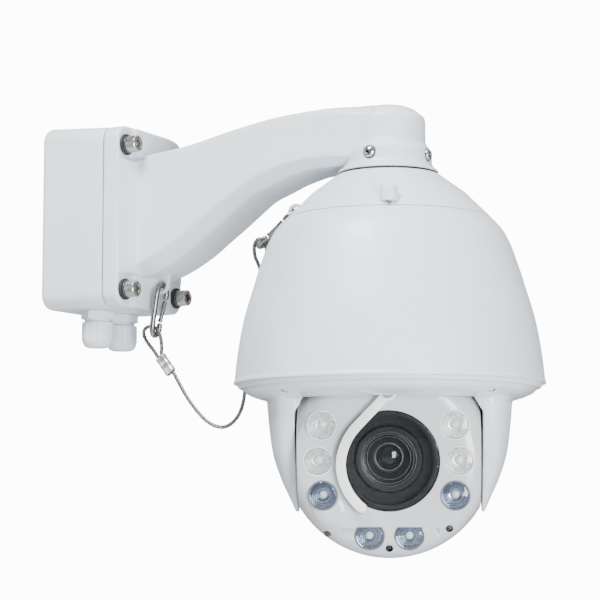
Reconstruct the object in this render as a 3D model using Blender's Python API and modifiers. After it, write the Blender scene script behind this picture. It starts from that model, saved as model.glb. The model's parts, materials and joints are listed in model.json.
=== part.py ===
"""PTZ dome camera on a gooseneck wall bracket.

Frame: origin at the centre of the junction box's wall face, +X out of the wall along the arm, +Z up.
The dome hangs on a vertical pan axis. Pan parts are drawn in a frame on that axis, and head parts in a
frame on the tilt axis whose X is the tilt axis, Y is up the face and Z is out through the window.
"""

import math

import bmesh
import bpy
from mathutils import Matrix, Vector

MM = 0.001

# junction box and flange
BOX_DEPTH = 52.0
BOX_HALF_Y = 48.0
BOX_HALF_Z = 70.5
BOX_REAR = -7.0
BOX_TOP = 72.5
BOX_TOP_REAR = 76.0
FLANGE_X0 = 52.4
FLANGE_X1 = 66.5
PAD_X1 = 69.5
SCREW_Y = 38.0
SCREW_Z = 57.0
GLAND_X = 28.5
GLAND_Y = 17.5

# pan axis and dome
PAN_X = 276.5
RIM_Z = -135.6
TILT_Z = -182.0
HEAD_AZ = math.radians(24.5)
TILT_REST = math.radians(11.0)

# head
HEAD_HALF = 65.5
FACE_D = 60.0
YOKE_IN = 67.0
CAVITY_R = 91.5
WIPER_U = 50.0
SNAP_W = 4.2
ROPE_D = 3.0

for old in list(bpy.data.objects):
    bpy.data.objects.remove(old)

parts = bpy.data.collections.new("ptz_camera")
cutters = bpy.data.collections.new("cutters")
bpy.context.scene.collection.children.link(parts)
bpy.context.scene.collection.children.link(cutters)


def material(name, color, rough=0.5, metal=0.0, transmission=0.0):
    m = bpy.data.materials.new(name)
    m.use_nodes = True
    b = m.node_tree.nodes["Principled BSDF"]
    b.inputs["Base Color"].default_value = (*color, 1.0)
    b.inputs["Roughness"].default_value = rough
    b.inputs["Metallic"].default_value = metal
    b.inputs["Transmission Weight"].default_value = transmission
    m.diffuse_color = (*color, 1.0)
    return m


WHITE = material("white_paint", (0.80, 0.82, 0.84), 0.35)
FACE = material("face_white", (0.84, 0.85, 0.86), 0.28)
GREY = material("grey_casting", (0.45, 0.46, 0.47), 0.5, 0.6)
NYLON = material("white_nylon", (0.82, 0.84, 0.85), 0.45)
BLACK = material("black_rubber", (0.02, 0.02, 0.02), 0.7)
STEEL = material("stainless_steel", (0.62, 0.61, 0.59), 0.25, 1.0)
ALU = material("ferrule_aluminium", (0.78, 0.78, 0.80), 0.35, 1.0)
ROPE = material("wire_rope", (0.55, 0.54, 0.52), 0.4, 1.0)
PCB = material("circuit_board", (0.03, 0.20, 0.08), 0.5)
DARK = material("black_plastic", (0.03, 0.03, 0.035), 0.45)
GLASS = material("window_glass", (0.05, 0.05, 0.055), 0.05, 0.0, 0.8)
LENS = material("led_lens", (0.75, 0.78, 0.82), 0.15, 0.0, 0.6)
BLADE = material("blade_rubber", (0.03, 0.03, 0.03), 0.6)
BELT = material("belt_rubber", (0.05, 0.05, 0.05), 0.8)

# ---------------------------------------------------------------- frames
WORLD = Matrix.Identity(4)
PAN = Matrix.Translation(Vector((PAN_X, 0, 0)) * MM) @ Matrix.Rotation(HEAD_AZ, 4, "Z")
TILT = PAN @ Matrix.Translation(Vector((0, 0, TILT_Z)) * MM) @ Matrix.Rotation(TILT_REST, 4, "X")
HEAD = TILT @ Matrix.Rotation(math.radians(90), 4, "X")
ALONG_X = Matrix.Rotation(math.radians(90), 4, "Y")


def at(x, y, z):
    return Matrix.Translation(Vector((x, y, z)) * MM)


def empty(name, matrix):
    e = bpy.data.objects.new(name, None)
    e.empty_display_size = 0.03
    e.matrix_world = matrix
    parts.objects.link(e)
    return e


pan_axis = empty("pan_axis", PAN)
tilt_axis = empty("tilt_axis", TILT)
tilt_axis.parent = pan_axis
tilt_axis.matrix_parent_inverse = PAN.inverted()
FRAMES = {"pan": (pan_axis, PAN), "tilt": (tilt_axis, TILT)}


# ---------------------------------------------------------------- helpers
def place(obj, mat, matrix=WORLD, under=None, cutter=False):
    if cutter:
        cutters.objects.link(obj)
        obj.hide_render = True
        obj.display_type = "WIRE"
        obj.matrix_world = matrix
    else:
        parts.objects.link(obj)
        obj.data.materials.append(mat)
        if under:
            parent, frame = FRAMES[under]
            obj.parent = parent
            obj.matrix_parent_inverse = frame.inverted()
        obj.matrix_basis = matrix
    return obj


def smooth(me, angle=35):
    me.shade_smooth()
    me.set_sharp_from_angle(angle=math.radians(angle))


def turned(name, profile, mat, matrix=WORLD, under=None, segs=20, cutter=False):
    """A turned solid about Z. The profile's (radius, z) points in mm run down the outer side; one that
    starts and ends on the axis is solid, any other is joined end to end into a ring."""
    me = bpy.data.meshes.new(name)
    bm = bmesh.new()
    vs = [bm.verts.new((r * MM, 0, z * MM)) for r, z in profile]
    for a, b in zip(vs, vs[1:]):
        bm.edges.new((a, b))
    if profile[0][0] > 1e-6:
        bm.edges.new((vs[-1], vs[0]))
    bm.to_mesh(me)
    bm.free()
    obj = place(bpy.data.objects.new(name, me), mat, matrix, under, cutter)
    s = obj.modifiers.new("turn", "SCREW")
    s.angle = math.tau
    s.steps = s.render_steps = segs
    s.use_merge_vertices = True
    s.merge_threshold = 0.00001
    s.use_smooth_shade = True
    return obj


def from_bm(name, bm, mat, matrix=WORLD, under=None, cutter=False, angle=35):
    me = bpy.data.meshes.new(name)
    bmesh.ops.recalc_face_normals(bm, faces=bm.faces)
    bm.to_mesh(me)
    bm.free()
    smooth(me, angle)
    return place(bpy.data.objects.new(name, me), mat, matrix, under, cutter)


def block(name, lo, hi, mat, matrix=WORLD, under=None, rounds=(), cutter=False):
    """A box from corner lo to corner hi in mm. rounds is a list of (axis, radius, segments), which rounds
    the edges along that axis; axis "all" rounds every sharp edge."""
    bm = bmesh.new()
    bmesh.ops.create_cube(bm, size=1.0)
    for v in bm.verts:
        v.co = Vector([(lo[i] + hi[i]) / 2 + v.co[i] * (hi[i] - lo[i]) for i in range(3)]) * MM
    for axis, radius, segments in rounds:
        if axis == "all":
            edges = [e for e in bm.edges if e.calc_face_angle(0) > math.radians(40)]
        else:
            i = "xyz".index(axis)
            edges = [e for e in bm.edges if abs((e.verts[0].co - e.verts[1].co).normalized()[i]) > 0.99]
        bmesh.ops.bevel(bm, geom=edges, offset=radius * MM, segments=segments, profile=0.5, affect="EDGES")
    return from_bm(name, bm, mat, matrix, under, cutter)


def rod(name, p0, p1, radius, mat, matrix=WORLD, under=None, segs=14, cutter=False, r2=None):
    a, b = Vector(p0), Vector(p1)
    bm = bmesh.new()
    bmesh.ops.create_cone(bm, cap_ends=True, segments=segs, radius1=radius * MM,
                          radius2=(radius if r2 is None else r2) * MM, depth=(b - a).length * MM)
    m = Matrix.Translation((a + b) / 2 * MM) @ (b - a).to_track_quat("Z", "Y").to_matrix().to_4x4()
    m = m @ Matrix.Rotation(0.07, 4, "Z")
    bmesh.ops.transform(bm, matrix=m, verts=bm.verts)
    return from_bm(name, bm, mat, matrix, under, cutter)


def loft(name, rings, mat, matrix=WORLD, under=None, cutter=False, angle=30):
    """A solid through rings of equal point counts (mm), closed by flat ends."""
    bm = bmesh.new()
    rows = [[bm.verts.new(Vector(p) * MM) for p in ring] for ring in rings]
    n = len(rows[0])
    for a, b in zip(rows, rows[1:]):
        for i in range(n):
            bm.faces.new((a[i], a[(i + 1) % n], b[(i + 1) % n], b[i]))
    bm.faces.new(rows[0])
    bm.faces.new(rows[-1])
    bmesh.ops.recalc_face_normals(bm, faces=bm.faces)
    bmesh.ops.triangulate(bm, faces=bm.faces)
    return from_bm(name, bm, mat, matrix, under, cutter, angle)


def slab(name, outline, z0, z1, mat, matrix=WORLD, under=None, cutter=False):
    """A flat outline of (x, y) points in mm with thickness from z0 to z1."""
    return loft(name, [[(x, y, z0) for x, y in outline], [(x, y, z1) for x, y in outline]], mat, matrix, under, cutter)


def tube(name, points, diameter, mat, matrix=WORLD, under=None, res=2, as_mesh=False):
    cu = bpy.data.curves.new(name, "CURVE")
    cu.dimensions = "3D"
    cu.bevel_depth = diameter / 2 * MM
    cu.bevel_resolution = res
    cu.use_fill_caps = True
    cu.render_resolution_u = 0
    sp = cu.splines.new("POLY")
    sp.points.add(len(points) - 1)
    for p, q in zip(sp.points, points):
        p.co = (*(Vector(q) * MM), 1)
    sp.use_smooth = True
    obj = bpy.data.objects.new(name, cu)
    if not as_mesh:
        return place(obj, mat, matrix, under)
    parts.objects.link(obj)
    bpy.context.view_layer.update()
    me = bpy.data.meshes.new_from_object(obj.evaluated_get(bpy.context.evaluated_depsgraph_get()))
    bpy.data.objects.remove(obj)
    bm = bmesh.new()
    bm.from_mesh(me)
    bmesh.ops.remove_doubles(bm, verts=bm.verts, dist=0.000005)
    bmesh.ops.recalc_face_normals(bm, faces=bm.faces)
    bm.to_mesh(me)
    bm.free()
    me.name = name
    me.materials.clear()
    return place(bpy.data.objects.new(name, me), mat, matrix, under)


def boolean(obj, other, op="DIFFERENCE"):
    m = obj.modifiers.new(op.lower(), "BOOLEAN")
    m.operation = op
    m.object = other
    m.solver = "MANIFOLD" if obj.name == "bracket_arm" else "EXACT"
    return obj


def cut(obj, *others):
    for o in others:
        boolean(obj, o)


def smooth_path(points, n):
    """n points evenly along a Catmull-Rom curve through the given points."""
    P = [Vector(p) for p in points]
    P = [2 * P[0] - P[1], *P, 2 * P[-1] - P[-2]]
    fine = []
    for i in range(1, len(P) - 2):
        a, b, c, d = P[i - 1:i + 3]
        for k in range(24):
            t = k / 24
            fine.append(0.5 * (2 * b + (c - a) * t + (2 * a - 5 * b + 4 * c - d) * t * t
                               + (3 * b - a - 3 * c + d) * t ** 3))
    fine.append(P[-2])
    run = [0.0]
    for a, b in zip(fine, fine[1:]):
        run.append(run[-1] + (b - a).length)
    out, j = [], 0
    for k in range(n):
        s = run[-1] * k / (n - 1)
        while j < len(run) - 2 and run[j + 1] < s:
            j += 1
        t = (s - run[j]) / max(run[j + 1] - run[j], 1e-9)
        out.append(fine[j].lerp(fine[j + 1], min(max(t, 0), 1)))
    return out


def lerp_table(table, x):
    if x <= table[0][0]:
        return table[0][1]
    for (x0, y0), (x1, y1) in zip(table, table[1:]):
        if x <= x1:
            return y0 + (y1 - y0) * (x - x0) / (x1 - x0)
    return table[-1][1]


def arc(cx, cy, r, a0, a1, n):
    return [(cx + r * math.cos(math.radians(a0 + (a1 - a0) * i / n)),
             cy + r * math.sin(math.radians(a0 + (a1 - a0) * i / n))) for i in range(n + 1)]


# ================================================================ wall side
box = block("junction_box", (BOX_REAR, -BOX_HALF_Y, -BOX_HALF_Z), (BOX_DEPTH, BOX_HALF_Y, BOX_TOP), WHITE,
            rounds=[("x", 12, 4)])
bm = bmesh.new()
bm.from_mesh(box.data)
for v in bm.verts:
    if v.co.z > 0.05 and v.co.x < 0:
        v.co.z += (BOX_TOP_REAR - BOX_TOP) * MM
rear = [e for e in bm.edges if all(v.co.x < (BOX_REAR + 1) * MM for v in e.verts)]
bmesh.ops.bevel(bm, geom=rear, offset=6 * MM, segments=3, profile=0.5, affect="EDGES")
bm.to_mesh(box.data)
bm.free()
smooth(box.data)
box_room = block("box_room", (BOX_REAR + 4, -44, -66.5), (60, 44, 68.5), None, rounds=[("x", 8, 2)], cutter=True)
cut(box, box_room)
for sy in (-1, 1):
    for sz in (-1, 1):
        boss = rod(f"box_boss_{sy}_{sz}", (BOX_REAR + 3, sy * SCREW_Y, sz * SCREW_Z), (BOX_DEPTH, sy * SCREW_Y, sz * SCREW_Z), 8.5,
                   None, cutter=True, segs=12)
        boolean(box, boss, "UNION")
for sy in (-1, 1):
    for sz in (-1, 1):
        cut(box, rod(f"box_thread_{sy}_{sz}", (38, sy * SCREW_Y, sz * SCREW_Z), (60, sy * SCREW_Y, sz * SCREW_Z), 4.3,
                     None, cutter=True, segs=12))
        cut(box, rod(f"wall_hole_{sy}_{sz}", (BOX_REAR - 5, sy * 30, sz * 36), (BOX_REAR + 8, sy * 30, sz * 36), 3.2, None, cutter=True, segs=12))
for i, y in ((1, -GLAND_Y), (2, GLAND_Y)):
    cut(box, rod(f"gland_hole_{i}", (GLAND_X, y, -75), (GLAND_X, y, -62), 10.3, None, cutter=True, segs=16))

gasket = block("box_gasket", (49.6, -43.7, -66.2), (52.1, 43.7, 66.2), BLACK, rounds=[("x", 7.7, 2)])
cut(gasket, block("gasket_room", (40, -41.2, -63.7), (60, 41.2, 63.7), None, rounds=[("x", 6, 2)], cutter=True))
for sy in (-1, 1):
    for sz in (-1, 1):
        cut(gasket, rod(f"gasket_notch_{sy}_{sz}", (30, sy * SCREW_Y, sz * SCREW_Z), (60, sy * SCREW_Y, sz * SCREW_Z), 8.9,
                        None, cutter=True, segs=12))
        boolean(gasket, block(f"gasket_corner_{sy}_{sz}",
                              (49.6, min(sy * 26.5, sy * 29), min(sz * 45.6, sz * 65)),
                              (52.1, max(sy * 26.5, sy * 29), max(sz * 45.6, sz * 65)), None, cutter=True), "UNION")
        boolean(gasket, block(f"gasket_bar_{sy}_{sz}",
                              (49.6, min(sy * 26.5, sy * 43), min(sz * 45.6, sz * 48)),
                              (52.1, max(sy * 26.5, sy * 43), max(sz * 45.6, sz * 48)), None, cutter=True), "UNION")

board = block("terminal_board", (8, -26, -32), (11.6, 26, 32), PCB)
for i, z in enumerate((-18, 14)):
    boolean(board, block(f"terminal_block_{i}", (11, -20, z - 6), (22, 20, z + 6), None, cutter=True), "UNION")
for sy in (-1, 1):
    boolean(board, rod(f"board_post_{sy}", (BOX_REAR + 4.3, sy * 20, 0), (10.5, sy * 20, 0), 3, None, cutter=True, segs=12), "UNION")


def hexagon(r, a0=0):
    return [(r * math.cos(math.radians(a0 + 60 * i)), r * math.sin(math.radians(a0 + 60 * i))) for i in range(6)]


for i, y in ((1, -GLAND_Y), (2, GLAND_Y)):
    g = at(GLAND_X, y, 0)
    body = turned(f"gland_body_{i}", [(9.9, -58), (9.9, -70.9), (10.2, -77.1), (10.2, -79), (9.3, -79.2), (9.3, -90),
                                      (6.2, -90), (6.2, -58)], NYLON, g, segs=16)
    hexa = slab(f"gland_hex_{i}", hexagon(13.2, 30), -77.2, -70.8, None, g, cutter=True)
    cut(hexa, rod(f"gland_hex_bore_{i}", (0, 0, -90), (0, 0, -60), 8.0, None, g, cutter=True, segs=16))
    boolean(body, hexa, "UNION")
    turned(f"gland_nut_{i}", [(11.0, -79.3), (12.2, -80.3), (12.3, -91.5), (11.2, -96.2), (8.4, -99.6), (4.6, -100),
                              (4.6, -97), (6.8, -94.5), (6.8, -90.6), (9.6, -90.6), (9.6, -79.3)], NYLON, g, segs=16)

# ---------------------------------------------------------------- arm casting
ARM_TOP = [(66, 49.0), (72, 49.8), (94, 52.4), (116, 55.2), (146, 61.6), (170, 66.2), (192, 69.6), (222, 71.9), (256, 72.6), (300, 73)]
ARM_LOW = [(66, -38.5), (72, -36), (84, -31), (96, -25), (112, -16), (126, -6), (141, 4), (156, 13), (174, 24),
           (186, 28.6), (200, 32), (213, 34), (226, 35), (256, 33.5), (300, 33)]
ARM_BOT = [(66, -46), (72, -45), (85, -43), (96, -38.5), (105, -34), (117, -27), (128, -19), (141, -10), (152, -2),
           (170, 11), (185, 17), (196, 21.5), (208, 25), (220, 27.5), (243, 28), (300, 28)]


def arm_ring(x, inset=0.0):
    t, s, b = lerp_table(ARM_TOP, x) - inset, lerp_table(ARM_LOW, x), lerp_table(ARM_BOT, x) + inset
    w = lerp_table([(255, 28), (271, 27.0)], x) - inset
    wb, wt = 20 - inset * 0.5, 21 - inset * 0.5
    s = max(s + inset * 0.4, b + 0.6)
    half = [(wt, t), (wt + (w - wt) * 0.6, t - 1.2), (w, t - 4.2), (w, s), (wb, b)]
    return [(x, y, z) for y, z in half] + [(x, -y, z) for y, z in reversed(half)]


stations = [67, 72, 84, 96, 112, 126, 141, 156, 170, 185, 200, 213, 226, 243, 258, 271]
arm = loft("bracket_arm", [arm_ring(x) for x in stations], WHITE)
flange = block("flange_plate", (FLANGE_X0, -BOX_HALF_Y, -BOX_HALF_Z), (FLANGE_X1, BOX_HALF_Y, BOX_TOP), None,
               rounds=[("x", 12, 4)], cutter=True)
pad = block("flange_pad", (FLANGE_X1 - 2, -27, -BOX_HALF_Z + 0.4), (PAD_X1, 27, BOX_TOP - 0.4), None, cutter=True)
fair = loft("flange_fairing", [[(x, y, -44.5 + a) for x, y in ((60, -47.9), (66.6, -47.9), (72, -27.8), (72, 27.8),
                                                               (66.6, 47.9), (60, 47.9))] for a in (0, 90)], None, cutter=True)
hub = turned("hub_collar", [(0, 73), (13, 73), (20, 70.3), (28.0, 64), (28.0, 47.6), (32.6, 41), (32.6, 29.5), (34, 26),
                            (37.4, 23.6), (37.6, 22.2), (0, 22.2)], None, at(PAN_X, 0, 0), segs=28, cutter=True)
lug = slab("lanyard_lug", [(69, -42), (69, -56), (73.5, -58)] + arc(77.6, -50.5, 7.2, -115, 0, 6) + [(86, -42)],
           -2, 2, None, Matrix.Rotation(math.radians(90), 4, "X"), cutter=True)
for o in (flange, pad, fair, hub, lug):
    boolean(arm, o, "UNION")
cut(arm, rod("lug_hole", (77.6, -10, -50.6), (77.6, 10, -50.6), 3.8, None, cutter=True, segs=12))
cut(arm, block("flange_room", (40, -41, -44), (62, 41, 44), None, rounds=[("x", 6, 2)], cutter=True))
inner = [58, 72, 84, 96, 112, 126, 141, 156, 170, 185, 200, 213, 226, 243, 258, 271]
cut(arm, loft("arm_room", [arm_ring(x, 5.0) for x in inner], None, cutter=True))
cut(arm, turned("hub_bore", [(0, 60), (21.5, 60), (21.5, 43.4), (29.1, 43.4), (29.1, 10), (0, 10)], None, at(PAN_X, 0, 0),
                segs=28, cutter=True))
COLLAR_DIRS = ((0, -1), (1, 0), (0, 1))
for i, (dx, dy) in enumerate(COLLAR_DIRS, 1):
    c = lambda r, z=34.2: (PAN_X + dx * r, dy * r, z)
    cut(arm, rod(f"collar_hole_{i}", c(20), c(50), 2.7, None, cutter=True, segs=12))
    cut(arm, rod(f"collar_spot_{i}", c(31.9), c(50), 5.0, None, cutter=True, segs=14))
for n, (sy, sz) in enumerate(((-1, 1), (-1, -1), (1, -1), (1, 1)), 1):
    cut(arm, rod(f"flange_hole_{n}", (40, sy * SCREW_Y, sz * SCREW_Z), (90, sy * SCREW_Y, sz * SCREW_Z), 4.5, None,
                 cutter=True, segs=12))
    cut(arm, rod(f"flange_spot_{n}", (FLANGE_X1, sy * SCREW_Y, sz * SCREW_Z), (90, sy * SCREW_Y, sz * SCREW_Z), 9.2, None,
                 cutter=True, segs=14))
    m = at(0, sy * SCREW_Y, sz * SCREW_Z) @ ALONG_X
    s = turned(f"flange_screw_{n}", [(0, 74.5), (3.4, 74.5), (3.4, 79.0), (5.9, 79.0), (6.5, 78.4), (6.5, 70.6), (8.2, 70.6),
                                     (8.2, 66.8), (3.9, 66.8), (3.9, 42), (0, 42)], STEEL, m, segs=12)

for i, (dx, dy) in enumerate(COLLAR_DIRS, 1):
    m = at(PAN_X, 0, 34.2) @ Matrix.Rotation(math.atan2(dy, dx), 4, "Z") @ ALONG_X
    turned(f"collar_screw_{i}", [(0, 35.2), (2.6, 34.9), (4.1, 33.8), (4.6, 32.2), (2.3, 32.2), (2.3, 25.5), (0, 25.5)], STEEL,
           m, segs=12)

# ================================================================ dome
D = at(PAN_X, 0, 0)
turned("neck_gasket", [(36.9, 21.9), (36.9, 20.9), (28.9, 20.9), (28.9, 21.9)], BLACK, D, segs=28)
cap = turned("upper_cap", [(28.7, 43.0), (28.7, 20.6), (38.6, 20.6), (40.2, 19.4), (57.6, 6.6), (67.5, -3.2), (77.0, -12.8),
                           (74.2, -12.8), (65.5, -4.6), (55.6, 4.0), (39, 16.6), (24.0, 16.6), (24.0, 43.0)], WHITE, D, segs=32)
for i, (dx, dy) in enumerate(COLLAR_DIRS, 1):
    cut(cap, rod(f"neck_hole_{i}", (PAN_X + dx * 15, dy * 15, 34.2), (PAN_X + dx * 35, dy * 35, 34.2), 2.7, None, cutter=True,
                 segs=12))
boss_dir = Matrix.Rotation(HEAD_AZ, 4, "Z")
boss = rod("cap_boss", (0, -64.0, -9.2), (0, -64.0, 4.0), 6.0, None, D @ boss_dir, cutter=True, segs=14)
boolean(cap, boss, "UNION")
cut(cap, rod("boss_hole", (0, -65.6, -14), (0, -65.6, -1.0), 2.1, None, D @ boss_dir, cutter=True, segs=12))
cap_eye_frame = D @ Matrix.Rotation(math.radians(188), 4, "Z")
eye = slab("cap_eye", arc(73.2, -2.5, 6.4, -35, 215, 9) + [(60, -1.5), (66, -4.6), (71, -9.4)], -1.9, 1.9, None,
           cap_eye_frame @ Matrix.Rotation(math.radians(90), 4, "X"), cutter=True)
boolean(cap, eye, "UNION")
cut(cap, rod("cap_eye_hole", (73.2, -10, -2.5), (73.2, 10, -2.5), 3.8, None, cap_eye_frame, cutter=True, segs=12))

dome = turned("dome_shell", [(77.3, -13.1), (85.8, -23), (94.9, -44.5), (101.3, -65), (107.7, -87), (112.3, -112),
                             (114.2, -128), (114.6, -134), (115.4, RIM_Z), (113.0, RIM_Z), (112.3, -128), (109.9, -112),
                             (105.3, -87.6), (98.9, -65.8), (92.6, -45.4), (83.6, -24.3), (74.6, -13.1)], WHITE, D, segs=36)
turned("base_ring", [(112.0, -127.5), (112.3, -136.6), (111.6, -138.6), (110.0, -139.2), (109.8, -129.5), (104.5, -127.5)],
       WHITE, D, segs=36)

# ---------------------------------------------------------------- inside the dome, fixed
plate = turned("motor_plate", [(88.5, -40), (88.5, -44), (22.4, -44), (22.4, -40)], GREY, D, segs=28)
for a in (60, 180, 300):
    x, y = 80 * math.cos(math.radians(a)), 80 * math.sin(math.radians(a))
    x2, y2 = 68 * math.cos(math.radians(a)), 68 * math.sin(math.radians(a))
    boolean(plate, rod(f"plate_post_{a}", (x2, y2, -41), (x2, y2, -13.5), 3, None, D, cutter=True, segs=10), "UNION")
MOTOR_AT = (48 * math.cos(math.radians(0)), 48 * math.sin(math.radians(0)))
cut(plate, rod("motor_shaft_hole", (*MOTOR_AT, -50), (*MOTOR_AT, -30), 4.5, None, D, cutter=True, segs=14))
turned("pan_bearing", [(22.1, -39), (22.1, -45), (16.4, -45), (16.4, -39)], STEEL, D, segs=20)
slip = turned("slip_ring", [(0, -22), (11, -22), (11, -30), (27.5, -30), (27.5, -33), (11.4, -33), (11.4, -82), (0, -82)], DARK,
              D, segs=16)
for a in (90, 270):
    y = 25 * math.sin(math.radians(a))
    boolean(slip, block(f"slip_leg_{a}", (-2, y - 2, -39.7), (2, y + 2, -30.5), None, D, cutter=True), "UNION")
motor = turned("pan_motor", [(0, -14), (18, -14), (19, -15), (19, -39.7), (4.0, -39.7), (4.0, -49), (2.5, -49), (2.5, -62),
                             (0, -62)], DARK, D @ at(*MOTOR_AT, 0), segs=16)
turned("pan_motor_pulley", [(8, -52), (8, -60), (2.8, -60), (2.8, -52)], ALU, D @ at(*MOTOR_AT, 0), segs=14)
mb = turned("main_board", [(52, -8), (52, -9.6), (6, -9.6), (6, -8)], PCB, D, segs=20)
for i, (x, y, w, h) in enumerate(((-24, 14, 8, 5), (20, -24, 10, 4), (-18, -26, 7, 7))):
    boolean(mb, block(f"board_chip_{i}", (x - w, y - w, -8.5), (x + w, y + w, -8 + h), None, D, cutter=True), "UNION")


def belt_outline(c0, r0, c1, r1, n=12):
    """Outline of a flat belt round two circles on a line along +X."""
    d = c1 - c0
    a = math.degrees(math.acos((r0 - r1) / d))
    return arc(c0, 0, r0, a, 360 - a, n) + arc(c1, 0, r1, -a, a, n // 2)


pb = slab("pan_belt", belt_outline(0, 40.2, 48, 10.2), -59, -53, BELT, D)
cut(pb, slab("pan_belt_room", belt_outline(0, 38.7, 48, 8.6), -70, -40, None, D, cutter=True))

# ================================================================ pan body
sphere_in = [(CAVITY_R * math.cos(math.radians(a)), TILT_Z + CAVITY_R * math.sin(math.radians(a))) for a in
             (22, 30, 40, 50, 60, 70, 79)]
sphere_out = [((CAVITY_R + 2.5) * math.cos(math.radians(a)), TILT_Z + (CAVITY_R + 2.5) * math.sin(math.radians(a))) for a in
              (79, 70, 60, 50, 40, 33)]
platform = turned("pan_platform",
                  [(13.3, -88.2)] + sphere_out + [(84, -132.5), (107.4, -134.5), (108.7, -137.5), (108.2, -140.2),
                                                  (106.0, -143.0), (100.5, -146.2), (93.0, -149.2), (85.4, -150.0)]
                  + sphere_in[1:] + [(13.3, TILT_Z + CAVITY_R)], WHITE, PAN, "pan", segs=36)

YOKE_X = [(-229, 69.2), (-220, 73.2), (-206, 79.6), (-188, 85.6), (-168, 88.6), (-147, 90.5), (-141, 91.5)]
YOKE_W = [(-229, 8), (-220, 20), (-206, 33), (-188, 45), (-168, 53.5), (-147, 57.5), (-141, 59)]


def yoke_ring(z, side, inset=0.0, x_in=YOKE_IN, n=8):
    xo, w = lerp_table(YOKE_X, z) - inset, lerp_table(YOKE_W, z) - inset
    pts = []
    for i in range(n + 1):
        a = math.radians(-90 + 180 * i / n)
        pts.append((x_in + (xo - x_in) * abs(math.cos(a)) ** 0.6, w * math.sin(a)))
    pts = [(x * side, y, z) for x, y in pts]
    return pts if side > 0 else pts[::-1]


zs = [-141, -147, -161, -175, -188, -199, -210, -220, -229]
for name, side in (("left", -1), ("right", 1)):
    arm_shell = loft(f"yoke_{name}", [yoke_ring(z, side) for z in zs], None, PAN, cutter=True)
    boolean(platform, arm_shell, "UNION")
for name, side in (("left", -1), ("right", 1)):
    web = loft(f"yoke_web_{name}", [[(side * x, y * (lerp_table(YOKE_W, z) - 0.7), z) for x, y in
                                     ((50, -1), (68, -1), (68, 1), (50, 1))] for z in (-145, -155, -165, -176)], None, PAN, cutter=True)
    ball = turned(f"head_room_{name}", [(89.2 * math.sin(math.radians(a)), 89.2 * math.cos(math.radians(a))) for a in range(0, 181, 6)],
                  None, TILT, segs=48, cutter=True)
    cut(web, ball)
    boolean(platform, web, "UNION")
for name, side in (("left", -1), ("right", 1)):
    room = loft(f"yoke_room_{name}", [yoke_ring(z, side, 3.0, 60.0) for z in (-151.5, -163, -177, -190, -202, -214, -225)],
                None, PAN, cutter=True)
    cut(platform, room)
    lo, hi = sorted((side * 72.4, side * 82.0))
    cut(platform, block(f"belt_slot_{name}", (lo, -19.5, -156), (hi, 19.5, -118), None, PAN, cutter=True))
    outline = []
    for z in (-152.5, -163, -177, -190, -202, -212):
        ratio = (YOKE_IN + 2.3 - 60) / (lerp_table(YOKE_X, z) - 3 - 60)
        outline.append((z, (lerp_table(YOKE_W, z) - 3) * math.sqrt(1 - ratio ** (2 / 0.6)) - 3.2))
    ring = [(z, w) for z, w in outline] + [(z, -w) for z, w in reversed(outline)]
    x0, x1 = sorted((side * YOKE_IN, side * (YOKE_IN + 2.0)))
    cover = loft(f"yoke_cover_{name}", [[(x, w, z) for z, w in ring] for x in (x0, x1)], WHITE, PAN, "pan")
    cut(cover, rod(f"shaft_hole_{name}", (side * 60, 0, TILT_Z), (side * 75, 0, TILT_Z), 7.2, None, PAN, cutter=True, segs=14))

pp = turned("pan_pulley", [(15.9, -36.5), (15.9, -51.8), (38, -52), (38, -60), (18, -60), (18, -84), (30, -84.5), (30, -87.9),
                           (13.4, -87.9), (13.4, -36.5)], ALU, PAN, "pan", segs=24)
TM_Z = -84.0
tm = turned("tilt_motor", [(0, 79.6), (2.2, 79.6), (2.2, 73.5), (5, 73.5), (5, 72), (13, 72), (13, 46), (0, 46)], DARK,
            PAN @ at(0, 0, TM_Z) @ ALONG_X, "pan", segs=14)
foot = block("tilt_motor_foot", (50, -5, -128.0), (56, 5, -90), None, PAN, cutter=True)
boolean(tm, foot, "UNION")
cut(tm, turned("foot_relief", [(0, TILT_Z + 94.4)] + [(94.4 * math.cos(math.radians(a)), TILT_Z + 94.4 * math.sin(math.radians(a)))
                                                      for a in (80, 70, 60, 50, 40, 30)] + [(0, TILT_Z + 40)], None, PAN,
               segs=36, cutter=True))
turned("tilt_motor_pulley", [(6, 79), (6, 73.8), (2.5, 73.8), (2.5, 79)], ALU, PAN @ at(0, 0, TM_Z) @ ALONG_X, "pan", segs=14)
bm_m = PAN @ at(0, 0, TILT_Z) @ Matrix.Rotation(math.radians(-90), 4, "Y")
tb = slab("tilt_belt", belt_outline(0, 15.7, TM_Z - TILT_Z, 7.6), -78.6, -74.2, BELT, bm_m, "pan")
cut(tb, slab("tilt_belt_room", belt_outline(0, 14.5, TM_Z - TILT_Z, 6.4), -90, -60, None, bm_m, cutter=True))

# ================================================================ head
FRONT = [(0, FACE_D), (36, FACE_D), (57.5, 59.4), (63.5, 57.4), (68.6, 52.5), (72.7, 44), (75.5, 33), (77.0, 20), (77.2, 10.3)]
FRONT_IN = [(0, FACE_D - 2.8), (36, FACE_D - 2.8), (56, 56.4), (61.5, 54.4), (66, 50), (69.9, 42.5), (72.7, 32), (74.2, 20),
            (74.4, 5)]
REAR = [(77.4, 9.9), (77.6, 0), (76.4, -15), (72, -31), (64.5, -46), (53.4, -59), (38.2, -70.2), (20, -77), (0, -79)]
REAR_IN = [(74.6, 15), (74.9, 0), (73.7, -14.4), (69.5, -29.6), (62.2, -44.2), (51.4, -56.8), (36.7, -67.6), (19.3, -74.3), (0, -76.2)]


def head_solid(name, profile, half, mat=None, cutter=True):
    o = turned(name, profile, mat, HEAD, None if cutter else "tilt", segs=28, cutter=cutter)
    boolean(o, block(name + "_slice", (-half, -120, -120), (half, 120, 120), None, HEAD, cutter=True), "INTERSECT")
    return o


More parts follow.
